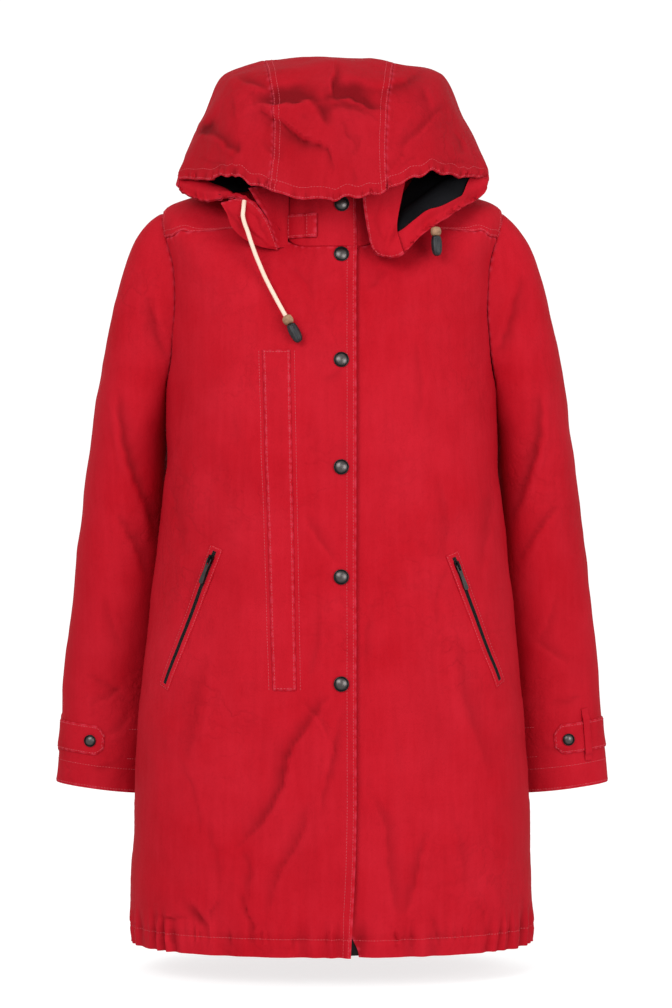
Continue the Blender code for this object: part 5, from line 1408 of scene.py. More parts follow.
def build_front_zip():
    """The tape under the fly, and its teeth: a row of small blocks down its middle."""
    low, high = ZIP_LEVELS
    above = UNDERARM_LEVEL + 0.05
    level = np.concatenate([np.linspace(low, UNDERARM_LEVEL, 190), np.linspace(above, high, 70)])
    columns = [np.full(level.shape, place) for place in np.linspace(*ZIP_TAPE_X, 4)]
    x = np.array([*columns, left_edge_x(level), left_fold_x(level)]).T
    level = np.broadcast_to(level[:, None], x.shape)
    turn = np.arcsin(x / side_x_at(level))
    under = -CLOTH - LIFT - 0.0006 * ease(8, 12, level) - SEAM_GAP
    cloth(
        "front_zip", *BODY, turn, level, ZIP_TAPE, worn_height, high=under,
        finish="tape", slot="zip_tape", rests_on=["front_left"],
    )
    outer, out = PANELS["front_zip"]
    teeth("front_zip_teeth", outer[:, 2], out[:, 2], *FRONT_TEETH)


def build_back():
    """One piece between the side seams, from the hem to the yoke."""
    arm_turn, arm_level = (table[:-1][::-1] for table in armhole(BACK_PHI))
    low = even_levels(96)
    end_turn = np.concatenate([np.full(len(low), math.pi / 2), arm_turn])
    end_level = np.concatenate([low, arm_level])
    share = np.linspace(0, 1, BACK_COLUMNS)
    level = levels_up(end_level, back_seam_level(arm_level[-1], share))
    start = end_turn + math.radians(HALF_GAP_DEG)
    turn = start[:, None] + share * (TURN - 2 * start)[:, None]
    level[-1] -= TOP_GAP_LEVELS
    cloth(
        "back", *BODY, spaced(turn), spaced(level), CLOTH, worn_height, rests_on=["yoke"],
        edges=dict.fromkeys(("first_column", "last_column"), PLAIN_SEAM) | {"last_row": STITCHED_SEAM},
    )


def build_yoke():
    """Over one shoulder, across the back and over the other: a row of columns round the neck."""
    (front_turn, front_low), (arm_turn, arm_level), (back_turn, back_low) = yoke_seam()
    half_turn = np.concatenate([front_turn[:-1], arm_turn])
    half_low = np.concatenate([front_low[:-1], arm_level])
    turn = np.concatenate([half_turn, back_turn, TURN - half_turn[::-1]])
    low = np.concatenate([half_low, back_low, half_low[::-1]]) + TOP_GAP_LEVELS
    level = low + (NECK_LEVEL - low) * np.linspace(0, 1, 40)[:, None]
    turn = np.broadcast_to(turn, level.shape)
    cloth(
        "yoke", *BODY, spaced(turn), spaced(level), CLOTH, worn_height,
        held="stretched", edges={"first_row": STITCHED_SEAM},
    )


def build_sleeves():
    """The left sleeve, from the armhole to the cuff, and its mirror image with creases of its own."""
    phi = np.concatenate([FRONT_PHI[:-1:2], YOKE_PHI[:-1:2], BACK_PHI[:-1:2]])
    rows = np.concatenate([np.linspace(0, 1, 70)[:-1], np.linspace(1, SLEEVE_END, 105)])
    row, phi = grid_of(rows, phi)
    row[0] = 1.4 * SEAM_GAP / (CAP_OUT * cap_strength(phi[0]))
    row, phi = spaced(row, columns=False), spaced(phi, columns=False)
    for side, name in SIDES:
        cloth(
            f"sleeve_{name}", *sleeve_side(side), phi, row, CLOTH, worn_sleeve_height(side),
            tube=True, rests_on=["yoke"], edges={"first_row": ARMHOLE_SEAM, "last_row": CUFF_HEM},
        )


# ---------------------------------------------------------------- collar and hood
def collar_rise(turn):
    """The stand lies inside the hood, comes out to the neck seam in front, and laps at the fly."""
    degrees = np.degrees(turn)
    inside = ease(-28, -44, degrees) * (1 - ease(-316, -332, degrees))
    lapped = ease(-24, -12, degrees)
    return FLY_LIFT * lapped - COLLAR_TUCK * inside


def collar_height(turn, height):
    """The collar has no creases of its own, only the cloth's unevenness."""
    return np.zeros(turn.shape), 0.6 * slack(collar(turn, height), 71)


def build_collar():
    """The stand round the neck; its ends lap at the fly, and its foot tucks in behind the neck seam."""
    neck_half = BODY_LEVELS[-1, 2]
    start = math.degrees(math.asin(FLY_EDGE_X / neck_half))
    end = -360 + math.degrees(math.asin(LEFT_EDGE_X / neck_half))
    rows = np.concatenate([[-0.045, -0.025, -0.008, 0.006], np.linspace(0.022, 1, 23)])
    height, turn = grid_of(rows, np.radians(np.linspace(start, end, 190)))
    height, turn = spaced(height, rows=False), spaced(turn, rows=False)
    below_seam = COLLAR_FOOT_IN * (1 - ease(-0.020, 0.012, height))
    cloth(
        "collar", *COLLAR, turn, height, CLOTH, collar_height,
        high=collar_rise(turn) - below_seam, held="stretched", rests_on=["yoke"],
        edges={"last_row": STITCHED_SEAM, "first_column": COLLAR_END},
    )


def waved(share, away):
    """The hood's rim is gathered by its cord, so its edge comes and goes along the brim by 2 mm."""
    s = TURN * 0.8 * share
    wave = np.cos(s / 0.019 + 2.2 * np.sin(s / 0.11)) + np.cos(s / 0.031 + 1.4 * np.sin(s / 0.17))
    return away + RIM_WAVE / 2 * wave * ease(0.955, 1.0, away)


def facing_reach(share):
    """How much further than at the brim the facing reaches into the hood: by its front corners."""
    right = 0.36 * ease(0.05, 0.12, share) * (1 - ease(0.20, 0.27, share))
    left = 0.03 * ease(0.86, 0.90, share) + 0.26 * ease(0.68, 0.73, share) * (1 - ease(0.77, 0.83, share))
    return right + left


def build_hood():
    """Two sides and the gusset between them, the black lining, and the facing inside the rim."""
    inset, gap = HOOD_CORNER_INSET, HOOD_SEAM_GAP
    away = np.linspace(0.002, 1, HOOD_ROWS)
    panels = {
        "hood_right": np.linspace(inset, GUSSET_RIGHT - gap, HOOD_SIDE_COLUMNS),
        "hood_crown": np.linspace(GUSSET_RIGHT + gap, GUSSET_LEFT - gap, HOOD_CROWN_COLUMNS),
        "hood_left": np.linspace(GUSSET_LEFT + gap, 1 - inset, HOOD_SIDE_COLUMNS),
    }
    for name, shares in panels.items():
        grid_away, share = (spaced(grid) for grid in grid_of(away, shares))
        grid_away = waved(share, grid_away)
        seams = {"last_row": RIM_CASING}
        if name != "hood_left":
            seams["last_column"] = HOOD_SEAM
        if name != "hood_right":
            seams["first_column"] = HOOD_SEAM
        # The hood's panels take the darker copy of the red cloth: painted shade.
        cloth(
            name, *HOOD, share, grid_away, HOOD_CLOTH, hood_height,
            held="draped", rests_on=["collar"], edges=seams, finish="hood_cloth",
        )
    under = -HOOD_CLOTH - LIFT - LINING_BELOW
    grid_away, share = grid_of(np.linspace(0.07, 0.91, 48), np.linspace(0.125, 0.945, 96))
    cloth(
        "hood_lining", *HOOD, share, grid_away, HOOD_INSIDE, hood_height, high=under,
        finish="lining", slot="lining_cloth", held="draped", rests_on=["hood_crown"],
    )
    across, share = grid_of(np.linspace(0, 1, 15), np.linspace(inset, 1 - inset, 240))
    start = FACING_FROM - facing_reach(share)
    grid_away = waved(share, start + (0.998 - start) * across)
    inside = under - FACING_BELOW + FACING_RISE * ease(0.88, 0.95, grid_away)
    cloth(
        "hood_facing", *HOOD, share, grid_away, HOOD_INSIDE, hood_height, high=inside,
        held="draped", rests_on=["hood_crown"], edges={"last_row": FACING_CASING},
    )


# ---------------------------------------------------------------- what is sewn and set on
def build_chest_welt():
    """A long upright strip on the right chest, between the corners of its outline as seen in front."""
    top_left, top_right, bottom_right, bottom_left = (np.array(corner) for corner in CHEST_WELT)
    down, over = grid_of(np.linspace(0, 1, 120), np.linspace(0, 1, 12))
    down, over = spaced(down), spaced(over)
    left = top_left + down[..., None] * (bottom_left - top_left)
    right = top_right + down[..., None] * (bottom_right - top_right)
    place = left + over[..., None] * (right - left)
    turn, level = find_on_body(place[..., 0], place[..., 1])
    cloth(
        "chest_welt", *BODY, turn, level, TRIM, worn_height, high=LIFT + TRIM,
        held="stretched", rests_on=["front_right"], edges=dict.fromkeys(EDGES, WELT_EDGE),
    )


def ribbon(start, end):
    """Surface, normals and length of a straight band on the body's front.

    Its first parameter is the share of the way along it, its second the metres across.
    """
    start, end = np.array(start), np.array(end)

    def frame_at(along):
        x, z = (start[k] + along * (end - start)[k] for k in (0, 1))
        turn, level = find_on_body(x, z)
        return worn_body(turn, level), body_normal(turn, level)

    def directions(along):
        step = 1e-3
        out = frame_at(along)[1]
        run = frame_at(along + step)[0] - frame_at(along - step)[0]
        run = unit(run - out * (run * out).sum(-1, keepdims=True))
        return np.cross(out, run), out

    def surface(along, across):
        return frame_at(along)[0] + directions(along)[0] * np.asarray(across)[..., None]

    def normal(along, across):
        return np.broadcast_to(directions(along)[1], surface(along, across).shape)

    length = np.linalg.norm(surface(np.array(1.0), 0.0) - surface(np.array(0.0), 0.0))
    return surface, normal, length


def teeth(name, line, out, step, size):
    """A row of small blocks with sloping tops along a line: size is across, along and out."""
    far = lengths_along(line)
    at = np.arange(step / 2, far[-1], step)
    centre, up = read_at(at, far, line), read_at(at, far, out)
    run = unit(np.gradient(centre, at, axis=0))
    side = np.cross(run, up)
    corner = np.array([(x, y, z) for x in (-1, 1) for y in (-1, 1) for z in (0, 1)], float)
    shrink = np.where(corner[:, 2:] > 0, 0.62, 1.0)
    spread = corner * np.array([size[0] / 2, size[1] / 2, size[2]])
    spread[:, :2] *= shrink
    axes = np.stack([side, run, up], axis=1)
    points = centre[:, None] + np.einsum("ck,nkd->ncd", spread, axes)
    box = np.array([(0, 1, 3, 2), (4, 6, 7, 5), (0, 4, 5, 1), (2, 3, 7, 6), (0, 2, 6, 4), (1, 5, 7, 3)])
    faces = (np.arange(len(at))[:, None, None] * 8 + box).reshape(-1, 4)
    points = points.reshape(-1, 3)
    wear = np.full(len(points), TEETH_WEAR)
    return put_mesh(name, points, faces, "metal", slot="zip_tape", paint={"wear": wear})


def box_loop(along, across, along_steps, across_steps):
    """The points of a rectangle's outline, once round, as two lists of parameters."""
    (a0, a1), (b0, b1) = along, across
    run, cross = np.linspace(a0, a1, along_steps + 1), np.linspace(b0, b1, across_steps + 1)
    a = np.concatenate([run[:-1], np.full(across_steps, a1), run[:0:-1], np.full(across_steps, a0)])
    b = np.concatenate([np.full(along_steps, b0), cross[:-1], np.full(along_steps, b1), cross[:0:-1]])
    return a, b


def build_hip_pocket(name):
    """The lips round a slanted zip, its tape, and two rows of teeth."""
    surface, normal, length = ribbon(*HIP_ZIPS[name])
    end_lip = (WELT_HALF - ZIP_SLOT_HALF) / length
    outer = box_loop((-end_lip, 1 + end_lip), (-WELT_HALF, WELT_HALF), 60, 8)
    inner = box_loop((0.0, 1.0), (-ZIP_SHOWN_HALF, ZIP_SHOWN_HALF), 60, 8)
    share = np.linspace(0, 1, 9)[:, None]
    along, across = (a + (b - a) * share for a, b in zip(outer, inner))
    rolled = (LIFT + LIP) * (0.25 + 0.75 * ease(0.0, 0.55, share)) - 0.0005 * ease(0.8, 1.0, share)
    high = np.broadcast_to(rolled, along.shape)
    cloth(
        f"pocket_welt_{name}", surface, normal, along, across, LIP, high=high,
        tube=True, held=None, paint_wear=np.broadcast_to(LIP_WEAR * ease(0.75, 1.0, share), along.shape),
    )
    edge = 0.0004 / length
    half = np.linspace(-POCKET_ZIP_HALF, POCKET_ZIP_HALF, 5)
    along, across = grid_of(np.linspace(edge, 1 - edge, 60), half)
    cloth(
        f"pocket_zip_{name}", surface, normal, along, across, POCKET_TAPE, high=LIFT + POCKET_TAPE,
        finish="tape", slot="zip_tape", held=None,
    )
    steps = np.linspace(edge, 1 - edge, 80)
    out = normal(steps, 0 * steps)
    for side, row in ((-1, "inner"), (1, "outer")):
        line = surface(steps, side * TEETH_APART) + out * (LIFT + POCKET_TAPE)
        teeth(f"pocket_teeth_{name}_{row}", line, out, *POCKET_TEETH)


def turned(name, node, profile, base, axis, finish, slot, segments=48, ribs=0, rib_depth=0.0):
    """A body of revolution for a node: profile holds (radius, height, wear) rows, closed on the axis.

    With ribs, the radius is multiplied by 1 + rib_depth cos(ribs * angle).
    """
    profile = np.array(profile, float)
    axis = unit(np.asarray(axis, float))
    side = unit(np.cross(axis, (0.3, 0.2, 1.0) if abs(axis[2]) < 0.9 else (1.0, 0.0, 0.0)))
    other = np.cross(axis, side)
    angle = TURN * np.arange(segments) / segments
    spoke = np.cos(angle)[:, None] * side + np.sin(angle)[:, None] * other
    spoke = spoke * (1 + rib_depth * np.cos(ribs * angle))[:, None]
    rings = base + axis * profile[:, 1, None, None] + profile[:, 0, None, None] * spoke
    ends = np.array([base + axis * profile[0, 1], base + axis * profile[-1, 1]])
    points = np.concatenate([rings.reshape(-1, 3), ends])
    count = len(profile)
    index = np.arange(count * segments).reshape(count, segments)
    first, last = count * segments, count * segments + 1
    caps = [np.array([first, b, a]) for a, b in zip(index[0], np.roll(index[0], -1))]
    caps += [np.array([last, a, b]) for a, b in zip(index[-1], np.roll(index[-1], -1))]
    wear = np.append(np.repeat(profile[:, 2], segments), profile[[0, -1], 2])
    made = put_mesh(name, points, list(rings_of_quads(index)) + caps, finish, slot=slot, paint={"wear": wear})
    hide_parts(node)
    return made


def snap_profile(radius):
    """A dished cap: rolled rim, a groove inside it, then a low dome, paler on its crown."""
    rim = [(radius * 0.92, 0.0000, 0.0), (radius, 0.0003, 0.0), (radius, 0.0010, 0.05)]
    angle = np.linspace(0, math.pi, 7)[1:]
    roll = [
        (radius * (0.92 + 0.08 * math.cos(a)), 0.0010 + 0.0006 * math.sin(a), 0.30 if a < 1.2 else 0.0)
        for a in angle
    ]
    share = np.linspace(0, 1, 10)
    crown = [(0.80 * (1 - s) + 0.02, 1 - (1 - s) ** 2, min(1, 2.5 * s)) for s in share]
    dome = [(radius * wide, 0.0009 + 0.0019 * high, 0.10 + 0.95 * worn) for wide, high, worn in crown]
    return rim + roll + dome


def build_snaps():
    """The fly's six snaps: the first on the collar, the others down the flap."""
    turn, height = find(collar, FLY_SNAP_X, COLLAR_SNAP_Z, 0.0, 0.8)
    place = collar(turn, height) + collar_normal(turn, height) * (
        sum(collar_height(turn, height)) + FLY_LIFT + SNAP_LIFT
    )
    snap("fly_snap_1", place, collar_normal(turn, height), SNAP_RADIUS)
    for number, (z, further) in enumerate(FLY_SNAPS, start=2):
        turn, level = find_on_body(FLY_SNAP_X, z)
        out = body_normal(turn, level)
        place = worn_body(turn, level) + out * (FLY_LIFT + SNAP_LIFT + further)
        snap(f"fly_snap_{number}", place, out, SNAP_RADIUS)


def snap(name, place, out, radius):
    """A snap's cap on the cloth at a place, facing out."""
    turned(f"{name}_cap", name, snap_profile(radius), place, out, "metal", "gunmetal")


def build_cuff(side, name):
    """The pointed tab round a cuff, the snap on it, and the keeper loop that it passes under."""
    tip_phi, tip_row, keeper_phi = CUFF_TABS[name]
    surface, normal = sleeve_side(side)
    height, half = worn_sleeve_height(side), CUFF_TAB_HALF_ROWS
    narrows = tip_phi - CUFF_TAB_POINT
    reach = np.concatenate([np.linspace(CUFF_TAB_START, narrows, 60), np.linspace(narrows, tip_phi, 9)[1:]])
    narrow = 1 - CUFF_TAB_NARROWS * ease(narrows, tip_phi + 0.05, reach)
    across = np.linspace(-1, 1, 15)
    phi, row = spaced(reach[:, None] + 0 * across), spaced(tip_row + half * narrow[:, None] * across)
    cloth(
        f"cuff_tab_{name}", surface, normal, phi, row, TRIM, height, high=LIFT + TRIM,
        held="stretched", rests_on=[f"sleeve_{name}"],
        edges=dict.fromkeys(("first_column", "last_column", "last_row"), CUFF_TAB_EDGE),
    )
    at = np.array(tip_phi - CUFF_SNAP_IN), np.array(tip_row)
    out, above = normal(*at), sum(height(*at)) + LIFT + TRIM + SNAP_LIFT
    snap(f"cuff_snap_{name}", surface(*at) + out * above, out, CUFF_SNAP_RADIUS)
    along = np.linspace(-KEEPER_REACH, KEEPER_REACH, 40)
    over = (LIFT + TRIM + KEEPER_SLACK) * (1 - ease(1.12, 1.45, np.abs(along)))
    about = keeper_phi + KEEPER_HALF * np.linspace(-1, 1, 7)
    row, phi = grid_of(tip_row + half * along, about)
    high = np.broadcast_to((LIFT + KEEPER + over)[:, None], row.shape)
    cloth(
        f"cuff_keeper_{name}", surface, normal, phi, row, KEEPER, height, high=high,
        held=None, paint_wear=KEEPER_WEAR,
    )


def build_collar_tab():
    """A small tab on the collar's front, its end folded over."""
    (x0, x1), (z0, z1) = COLLAR_TAB_X, COLLAR_TAB_Z
    x, z = grid_of(np.linspace(x0, x1, 30), np.linspace(z1, z0, 20))
    x, z = spaced(x), spaced(z)
    turn, height = find(collar, x, z, 0.0, 0.5)
    cloth(
        "collar_tab", *COLLAR, turn, height, COLLAR_TAB, collar_height,
        high=collar_rise(turn) + 2 * LIFT + COLLAR_TAB + COLLAR_TAB_FOLD * ease(*COLLAR_TAB_FOLD_X, x),
        held="stretched", rests_on=["collar"], edges=dict.fromkeys(EDGES, COLLAR_TAB_EDGE),
    )


# ---------------------------------------------------------------- zip pulls
def build_pull(name):
    """A flat tab whose slot leaves a crossbar at the hinge, rounded over at its edges."""
    _, normal, length = ribbon(*HIP_ZIPS[name])
    joint = next(j for j in frame["joints"] if j["child"] == f"pull_{name}")
    hinge, axis = np.array(joint["pos_m"]), np.array(joint["axis"])
    run = unit(np.cross(normal(np.array(SLIDER_AT / length), 0.0), axis))
    half, bar = PULL_WIDTH / 2, CROSSBAR / 2
    end = 0.9 * half
    middle = PULL_LENGTH - end
    waist = half * (1 - PULL_WAIST * np.sin(math.pi * np.linspace(0, 1, 12)) ** 2)
    side_y = np.linspace(-bar, middle, 12)
    cap = [(half * math.cos(a), middle + end * math.sin(a)) for a in np.linspace(0, math.pi, 13)[1:-1]]
    outer = np.array([*zip(waist, side_y), *cap, *zip(-waist[::-1], side_y[::-1])])
    inner = slot_outline(BAIL_WIDTH / 2 + SLOT_CLEARANCE, bar, SLOT_END, np.linspace(0, 1, len(outer)))
    loops = np.array([outer, inner])
    top = np.concatenate([loops, np.full(loops.shape[:2] + (1,), PULL_THICK / 2)], axis=-1)
    low = top * np.array([1, 1, -1])
    axes = np.array([axis, run, np.cross(run, axis)])
    points = np.concatenate([hinge + (grid.reshape(-1, 3) @ axes) for grid in (top, low)])
    made = put_mesh(
        f"zip_pull_{name}_tab", points, wall_faces(*loops.shape[:2], True), "metal",
        body=f"pull_{name}", slot="gunmetal", paint={"wear": np.full(len(points), PULL_WEAR)},
    )
    soften = made.modifiers.new("edges", "BEVEL")
    soften.width, soften.segments, soften.limit_method = 0.00022, 2, "ANGLE"
    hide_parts(f"zip_pull_{name}")


def slot_outline(half, low, high, order):
    """Points of a slot's outline for shares of the way round, from its lower right corner."""
    corners = np.array([(half, low), (half, high), (-half, high), (-half, low)])
    far = lengths_along(corners)
    return read_at(order * far[-1], far, corners)


# ---------------------------------------------------------------- drawcord
STOPPER_PROFILE = [
    (0.0034, 0.0000, 0), (0.0050, 0.0006, 0), (0.0060, 0.0018, 0), (0.0065, 0.0035, 0), (0.0066, 0.0052, 0),
    (0.0063, 0.0070, 0), (0.0056, 0.0084, 0), (0.0044, 0.0094, 0), (0.0030, 0.0098, 0),
]
CORD_END_PROFILE = [
    (0.0034, 0.0000, 0), (0.0047, 0.0006, 0), (0.0053, 0.0016, 0), (0.0050, 0.0024, 0), (0.0055, 0.0036, 0),
    (0.0058, 0.0062, 0), (0.0059, 0.0095, 0), (0.0058, 0.0130, 0), (0.0055, 0.0162, 0), (0.0048, 0.0190, 0),
    (0.0036, 0.0211, 0), (0.0020, 0.0221, 0),
]


def build_stopper(side, start, way, gap, end_way):
    """A leather stopper at the end of the cord, and the ribbed end below it."""
    stopper = turned(
        f"cord_stopper_{side}_bead", f"cord_stopper_{side}", STOPPER_PROFILE, start, way,
        "toggle", "leather", segments=32, ribs=2, rib_depth=0.10,
    )
    end_start = start + way * (STOPPER_LONG + gap)
    end = turned(
        f"cord_end_{side}_cap", f"cord_end_{side}", CORD_END_PROFILE, end_start, end_way,
        "rubber", "cord_end_plastic", ribs=10, rib_depth=0.045,
    )
    return [stopper, end]


def build_drawcord():
    """A braided cord: a tube whose radius rises and falls with two crossing spirals.

    Its radius is CORD_RADIUS (0.93 + 0.07 |sin(3 a + 3 t) sin(3 a - 3 t)|^0.6) at an angle a and a
    twist t, one turn for each BRAID_LONG.
    """
    steps = lengths_along(CORD_ROUTE)
    rings = int(steps[-1] / CORD_RING_STEP)
    s = np.linspace(0, steps[-1], rings)
    path = through(steps, CORD_ROUTE, s)
    run = unit(np.gradient(path, s, axis=0))
    side = unit(np.cross(run, (0.0, -1.0, 0.0)))
    other = np.cross(run, side)
    angle = TURN * np.arange(CORD_SIDES) / CORD_SIDES
    twist = TURN * s[:, None] / BRAID_LONG
    braid = np.abs(np.sin(3 * angle + 3 * twist) * np.sin(3 * angle - 3 * twist)) ** 0.6
    radius = CORD_RADIUS * (0.93 + 0.07 * braid)
    points = path[:, None] + radius[..., None] * (
        np.cos(angle)[:, None] * side[:, None] + np.sin(angle)[:, None] * other[:, None]
    )
    index = np.arange(points[..., 0].size).reshape(points.shape[:2])
    faces = list(rings_of_quads(index)) + [index[0][::-1], index[-1]]
    # The braid's height is painted on the cord, for the painted shade in its grooves.
    cord = put_mesh(
        "drawcord_right_braid", points.reshape(-1, 3), faces, "cord", slot="cord_yarn", paint={"press": braid}
    )
    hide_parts("drawcord_right")
    way = unit(CORD_ROUTE[-1] - CORD_ROUTE[-2])
    pieces = build_stopper("right", CORD_ROUTE[-1] + way * SEAM_GAP, way, CORD_END_GAP, CORD_END_WAY)
    tuple(float(v) for v in path[0])
    path[::3].tolist() + [path[-1].tolist()]
    down = unit(np.array(LEFT_STOPPER_WAY))
    build_stopper("left", np.array(LEFT_STOPPER), down, SEAM_GAP, down)


# ---------------------------------------------------------------- all the stitching
def rows_in(inset, edges, *pieces):
    """Rows of stitches at a distance in from the named edges of cloth pieces."""
    return [(piece, edge, inset) for piece in pieces for edge in edges]


HOOD_PANELS = ("hood_right", "hood_crown", "hood_left")
STITCH_ROWS = {
    "thread_fronts": rows_in(0.0035, ["first_column"], "front_right")
    + rows_in(0.0105, ["first_column"], "front_right")
    + rows_in(HEM_STITCHING, ["first_row"], "front_right", "front_left"),
    "thread_back": rows_in(HEM_STITCHING, ["first_row"], "back"),
    "thread_yoke": rows_in(0.0020, ["first_row"], "yoke") + rows_in(0.0080, ["first_row"], "yoke"),
    "thread_sleeves": rows_in(0.0270, ["last_row"], "sleeve_right", "sleeve_left")
    + rows_in(0.0030, ["last_row"], "sleeve_right", "sleeve_left"),
    "thread_hood": rows_in(0.0020, ["first_column", "last_column"], "hood_crown")
    + rows_in(0.0080, ["first_column", "last_column"], "hood_crown")
    + rows_in(0.0135, ["last_row"], *HOOD_PANELS)
    + rows_in(0.0020, ["last_row"], *HOOD_PANELS),
    "thread_hood_corners": rows_in(0.0026, ["first_column"], "hood_right_front", "hood_left_front")
    + rows_in(0.0030, ["first_row"], "hood_left_front"),
    "thread_collar": rows_in(0.0030, ["last_row"], "collar")
    + rows_in(0.0035, ["first_column"], "collar")
    + rows_in(0.0025, ["first_row", "first_column", "last_column"], "collar_tab")
    + rows_in(0.0120, ["last_row"], "collar_tab"),
    "thread_chest_welt": rows_in(0.0022, EDGES, "chest_welt"),
    "thread_cuff_tabs": rows_in(
        0.0025, ["first_column", "last_column", "last_row"], "cuff_tab_right", "cuff_tab_left"
    ),
    "thread_pocket_lips": rows_in(0.0016, ["first_row"], "pocket_welt_right", "pocket_welt_left"),
}
WELT_STITCH_OUT = 0.0048


def build_stitching():
    """The rows of the table, a row on each side of the chest welt, and two short ones on each cuff."""
    for name, rows in STITCH_ROWS.items():
        sew(name, [inset_line(*row) for row in rows])
    share = np.linspace(0, 1, 240)
    beside = []
    for top, bottom, side in ((CHEST_WELT[0], CHEST_WELT[3], -1), (CHEST_WELT[1], CHEST_WELT[2], 1)):
        x = top[0] + share * (bottom[0] - top[0]) + side * WELT_STITCH_OUT
        z = top[1] + share * (bottom[1] - top[1])
        turn, level = find_on_body(x, z)
        out = body_normal(turn, level)
        beside.append((worn_body(turn, level) + out * fly_rise(x)[:, None], out))
    sew("thread_beside_welt", beside)
    phi = np.linspace(2.15, 2.70, 12)
    short = []
    for side, name in SIDES:
        surface, normal = sleeve_side(side)
        for further in (-1, 1):
            row = np.full(phi.shape, CUFF_TABS[name][1] + further * CUFF_TAB_HALF_ROWS)
            out, height = normal(phi, row), sum(worn_sleeve_height(side)(phi, row))
            short.append((surface(phi, row) + out * height[:, None], out))
    sew("thread_cuffs", short)


def seam_tape(name, surface, normal, a, b, under, height, tube=False):
    """What is left of the cloth past a seam's stitching: a thin strip that backs the seam."""
    high = -under - SEAM_TAPE
    cloth(name, surface, normal, a, b, SEAM_TAPE, height, high=high, tube=tube, held=None, solid=False)


def build_seam_tapes():
    """Behind the hood's gussets, the yoke's seam, the armholes and the side seams."""
    for side, middle in (("right", GUSSET_RIGHT), ("left", GUSSET_LEFT)):
        beside = middle + np.linspace(-0.006, 0.006, 7)
        away, share = grid_of(np.linspace(0.002, 0.990, HOOD_ROWS), beside)
        seam_tape(f"gusset_tape_{side}", *HOOD, share, away, HOOD_CLOTH + SEAM_TAPE, hood_height)
    (front_turn, front_low), _, (back_turn, back_low) = yoke_seam()
    for name, turn, low in (
        ("yoke_tape_left", front_turn, front_low), ("yoke_tape_right", TURN - front_turn, front_low),
        ("yoke_tape_back", back_turn, back_low),
    ):
        level = low + np.linspace(-0.12, 0.12, 5)[:, None]
        turn = np.broadcast_to(turn, level.shape)
        seam_tape(name, *BODY, turn, level, CLOTH, worn_height)
    phi = np.linspace(0, TURN, 181)[:-1]
    wide = np.linspace(0.97, 1.05, 5)[:, None]
    turn, level = armhole(phi)
    for side, name in SIDES:
        turns = side * (math.pi / 2 + (turn - math.pi / 2) * wide)
        levels = ARMHOLE_LEVEL + (level - ARMHOLE_LEVEL) * wide
        seam_tape(f"armhole_tape_{name}", *BODY, turns, levels, CLOTH, worn_height, tube=True)
        beside = side * (math.pi / 2 + np.radians([-1.4, 0, 1.4]))
        levels, turns = grid_of(np.linspace(0, UNDERARM_LEVEL, 120), beside)
        seam_tape(f"side_tape_{name}", *BODY, turns, levels, CLOTH, worn_height)


# The hood's two front corners, which stand up before the collar, and the cloth that turns in from the
# right one to the collar. Each lies between two edges that run from its first end to its second: places
# as the camera sees them, in millimetres, and their depth y.
RIGHT_FRONT = (
    (-109.8, -21.9, -113.5, -127.0, -26.5, -105.0),
    (-93.7, -23.6, -115.0, -120.1, -39.1, -109.0),
    (-81.0, -34.5, -113.5, -114.4, -54.1, -111.0),
    (-71.3, -50.6, -109.0, -100.6, -67.9, -110.0),
    (-66.1, -64.4, -105.5, -82.2, -76.5, -106.5),
    (-61.5, -78.2, -101.5, -62.6, -79.9, -101.0),
)
LEFT_FRONT = (
    (52.4, -84.0, -128.0, 83.4, -84.5, -138.5),
    (45.5, -75.9, -126.5, 78.8, -70.2, -136.0),
    (42.6, -65.6, -125.0, 75.3, -54.1, -129.0),
    (39.1, -44.9, -124.5, 78.8, -29.9, -117.0),
    (36.8, -26.5, -127.0, 84.5, -4.6, -111.0),
    (35.1, -9.2, -129.0, 86.8, 6.9, -108.0),
)
RIGHT_RETURN = (
    (-94.8, -9.2, -111.0, -51.1, -4.6, -84.8),
    (-84.5, -26.5, -112.0, -50.0, -20.7, -87.2),
    (-75.3, -40.3, -109.5, -49.4, -36.8, -88.6),
    (-69.0, -55.2, -106.0, -49.4, -51.8, -90.9),
    (-64.4, -67.9, -103.0, -50.0, -64.4, -92.2),
    (-62.1, -77.1, -101.5, -50.6, -75.3, -94.6),
)


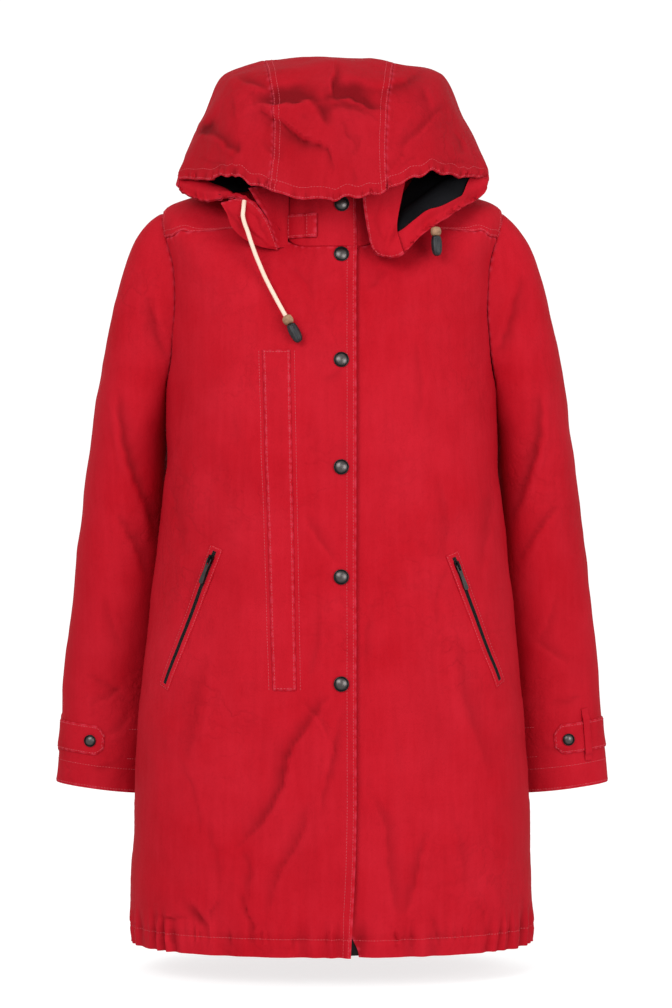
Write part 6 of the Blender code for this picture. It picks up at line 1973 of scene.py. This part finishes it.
def between_edges(edges, bulge, sag):
    """The surface between two edges: along them, and across from the first (0) to the second (1).

    It bulges forward by bulge sin(pi across) sin(pi along)^0.5, and its first end hangs by
    sag sin(pi across)^0.8 (1 - along)^3 below a straight line.
    """
    rows = np.array(edges, float) / 1000

    def surface(along, across):
        along, across = paired(along, across)
        both = through(np.linspace(0, 1, len(rows)), rows, np.clip(along, 0, 1))
        first, second = both[..., :3], both[..., 3:]
        x, z, y = np.moveaxis(first + across[..., None] * (second - first), -1, 0)
        middle = np.sin(math.pi * np.clip(across, 0, 1))
        y = y - bulge * middle * np.sin(math.pi * np.clip(along, 0, 1)) ** 0.5
        z = z - sag * middle**0.8 * (1 - np.clip(along, 0, 1)) ** 3
        far = 1 + y / CAMERA_AWAY
        return np.stack([CAMERA_X + (x - CAMERA_X) * far, y, CAMERA_Z + (z - CAMERA_Z) * far], axis=-1)

    return surface


def build_front_corner(name, edges, bulge, sag, outward, piece):
    """A small sheet at the hood's front, between two edges; the named piece is not used."""
    surface = between_edges(edges, bulge, sag)
    along, across = grid_of(np.linspace(0, 1, 44), np.linspace(0, 1, 26))

    def height(a, b):
        points = surface(a, b)
        return crease_height(as_seen(points), HOOD_FRONT_CREASES), 0.8 * slack(points, 81)

    cloth(
        name, surface, lambda a, b: normals_of(surface, a, b, outward), spaced(along), spaced(across),
        HOOD_CLOTH, height, held="draped", rests_on=[piece], solid=False,
        edges=dict.fromkeys(("first_column", "first_row"), HOOD_CORNER_EDGE),
    )


def build_parka():
    """Every piece, then the stitching on them; the solids' zip sliders stay, in the metal's finish."""
    build_fronts()
    build_front_zip()
    build_back()
    build_yoke()
    build_sleeves()
    build_collar()
    build_hood()
    build_chest_welt()
    for name in HIP_ZIPS:
        build_hip_pocket(name)
        build_pull(name)
    build_snaps()
    for side, name in SIDES:
        build_cuff(side, name)
    build_collar_tab()
    build_front_corner("hood_right_front", RIGHT_FRONT, 0.0030, 0.0, -1, "hood_right")
    build_front_corner("hood_right_return", RIGHT_RETURN, -0.0030, 0.0, 1, "collar")
    build_front_corner("hood_left_front", LEFT_FRONT, 0.0050, 0.0045, -1, "hood_left")
    build_seam_tapes()
    build_drawcord()
    build_stitching()
    for name in ("zip_slider_right", "zip_slider_left"):
        frame["nodes"][name].material_slots[0].material = FINISHES["metal"]


build_studio()
make_finishes()
build_parka()
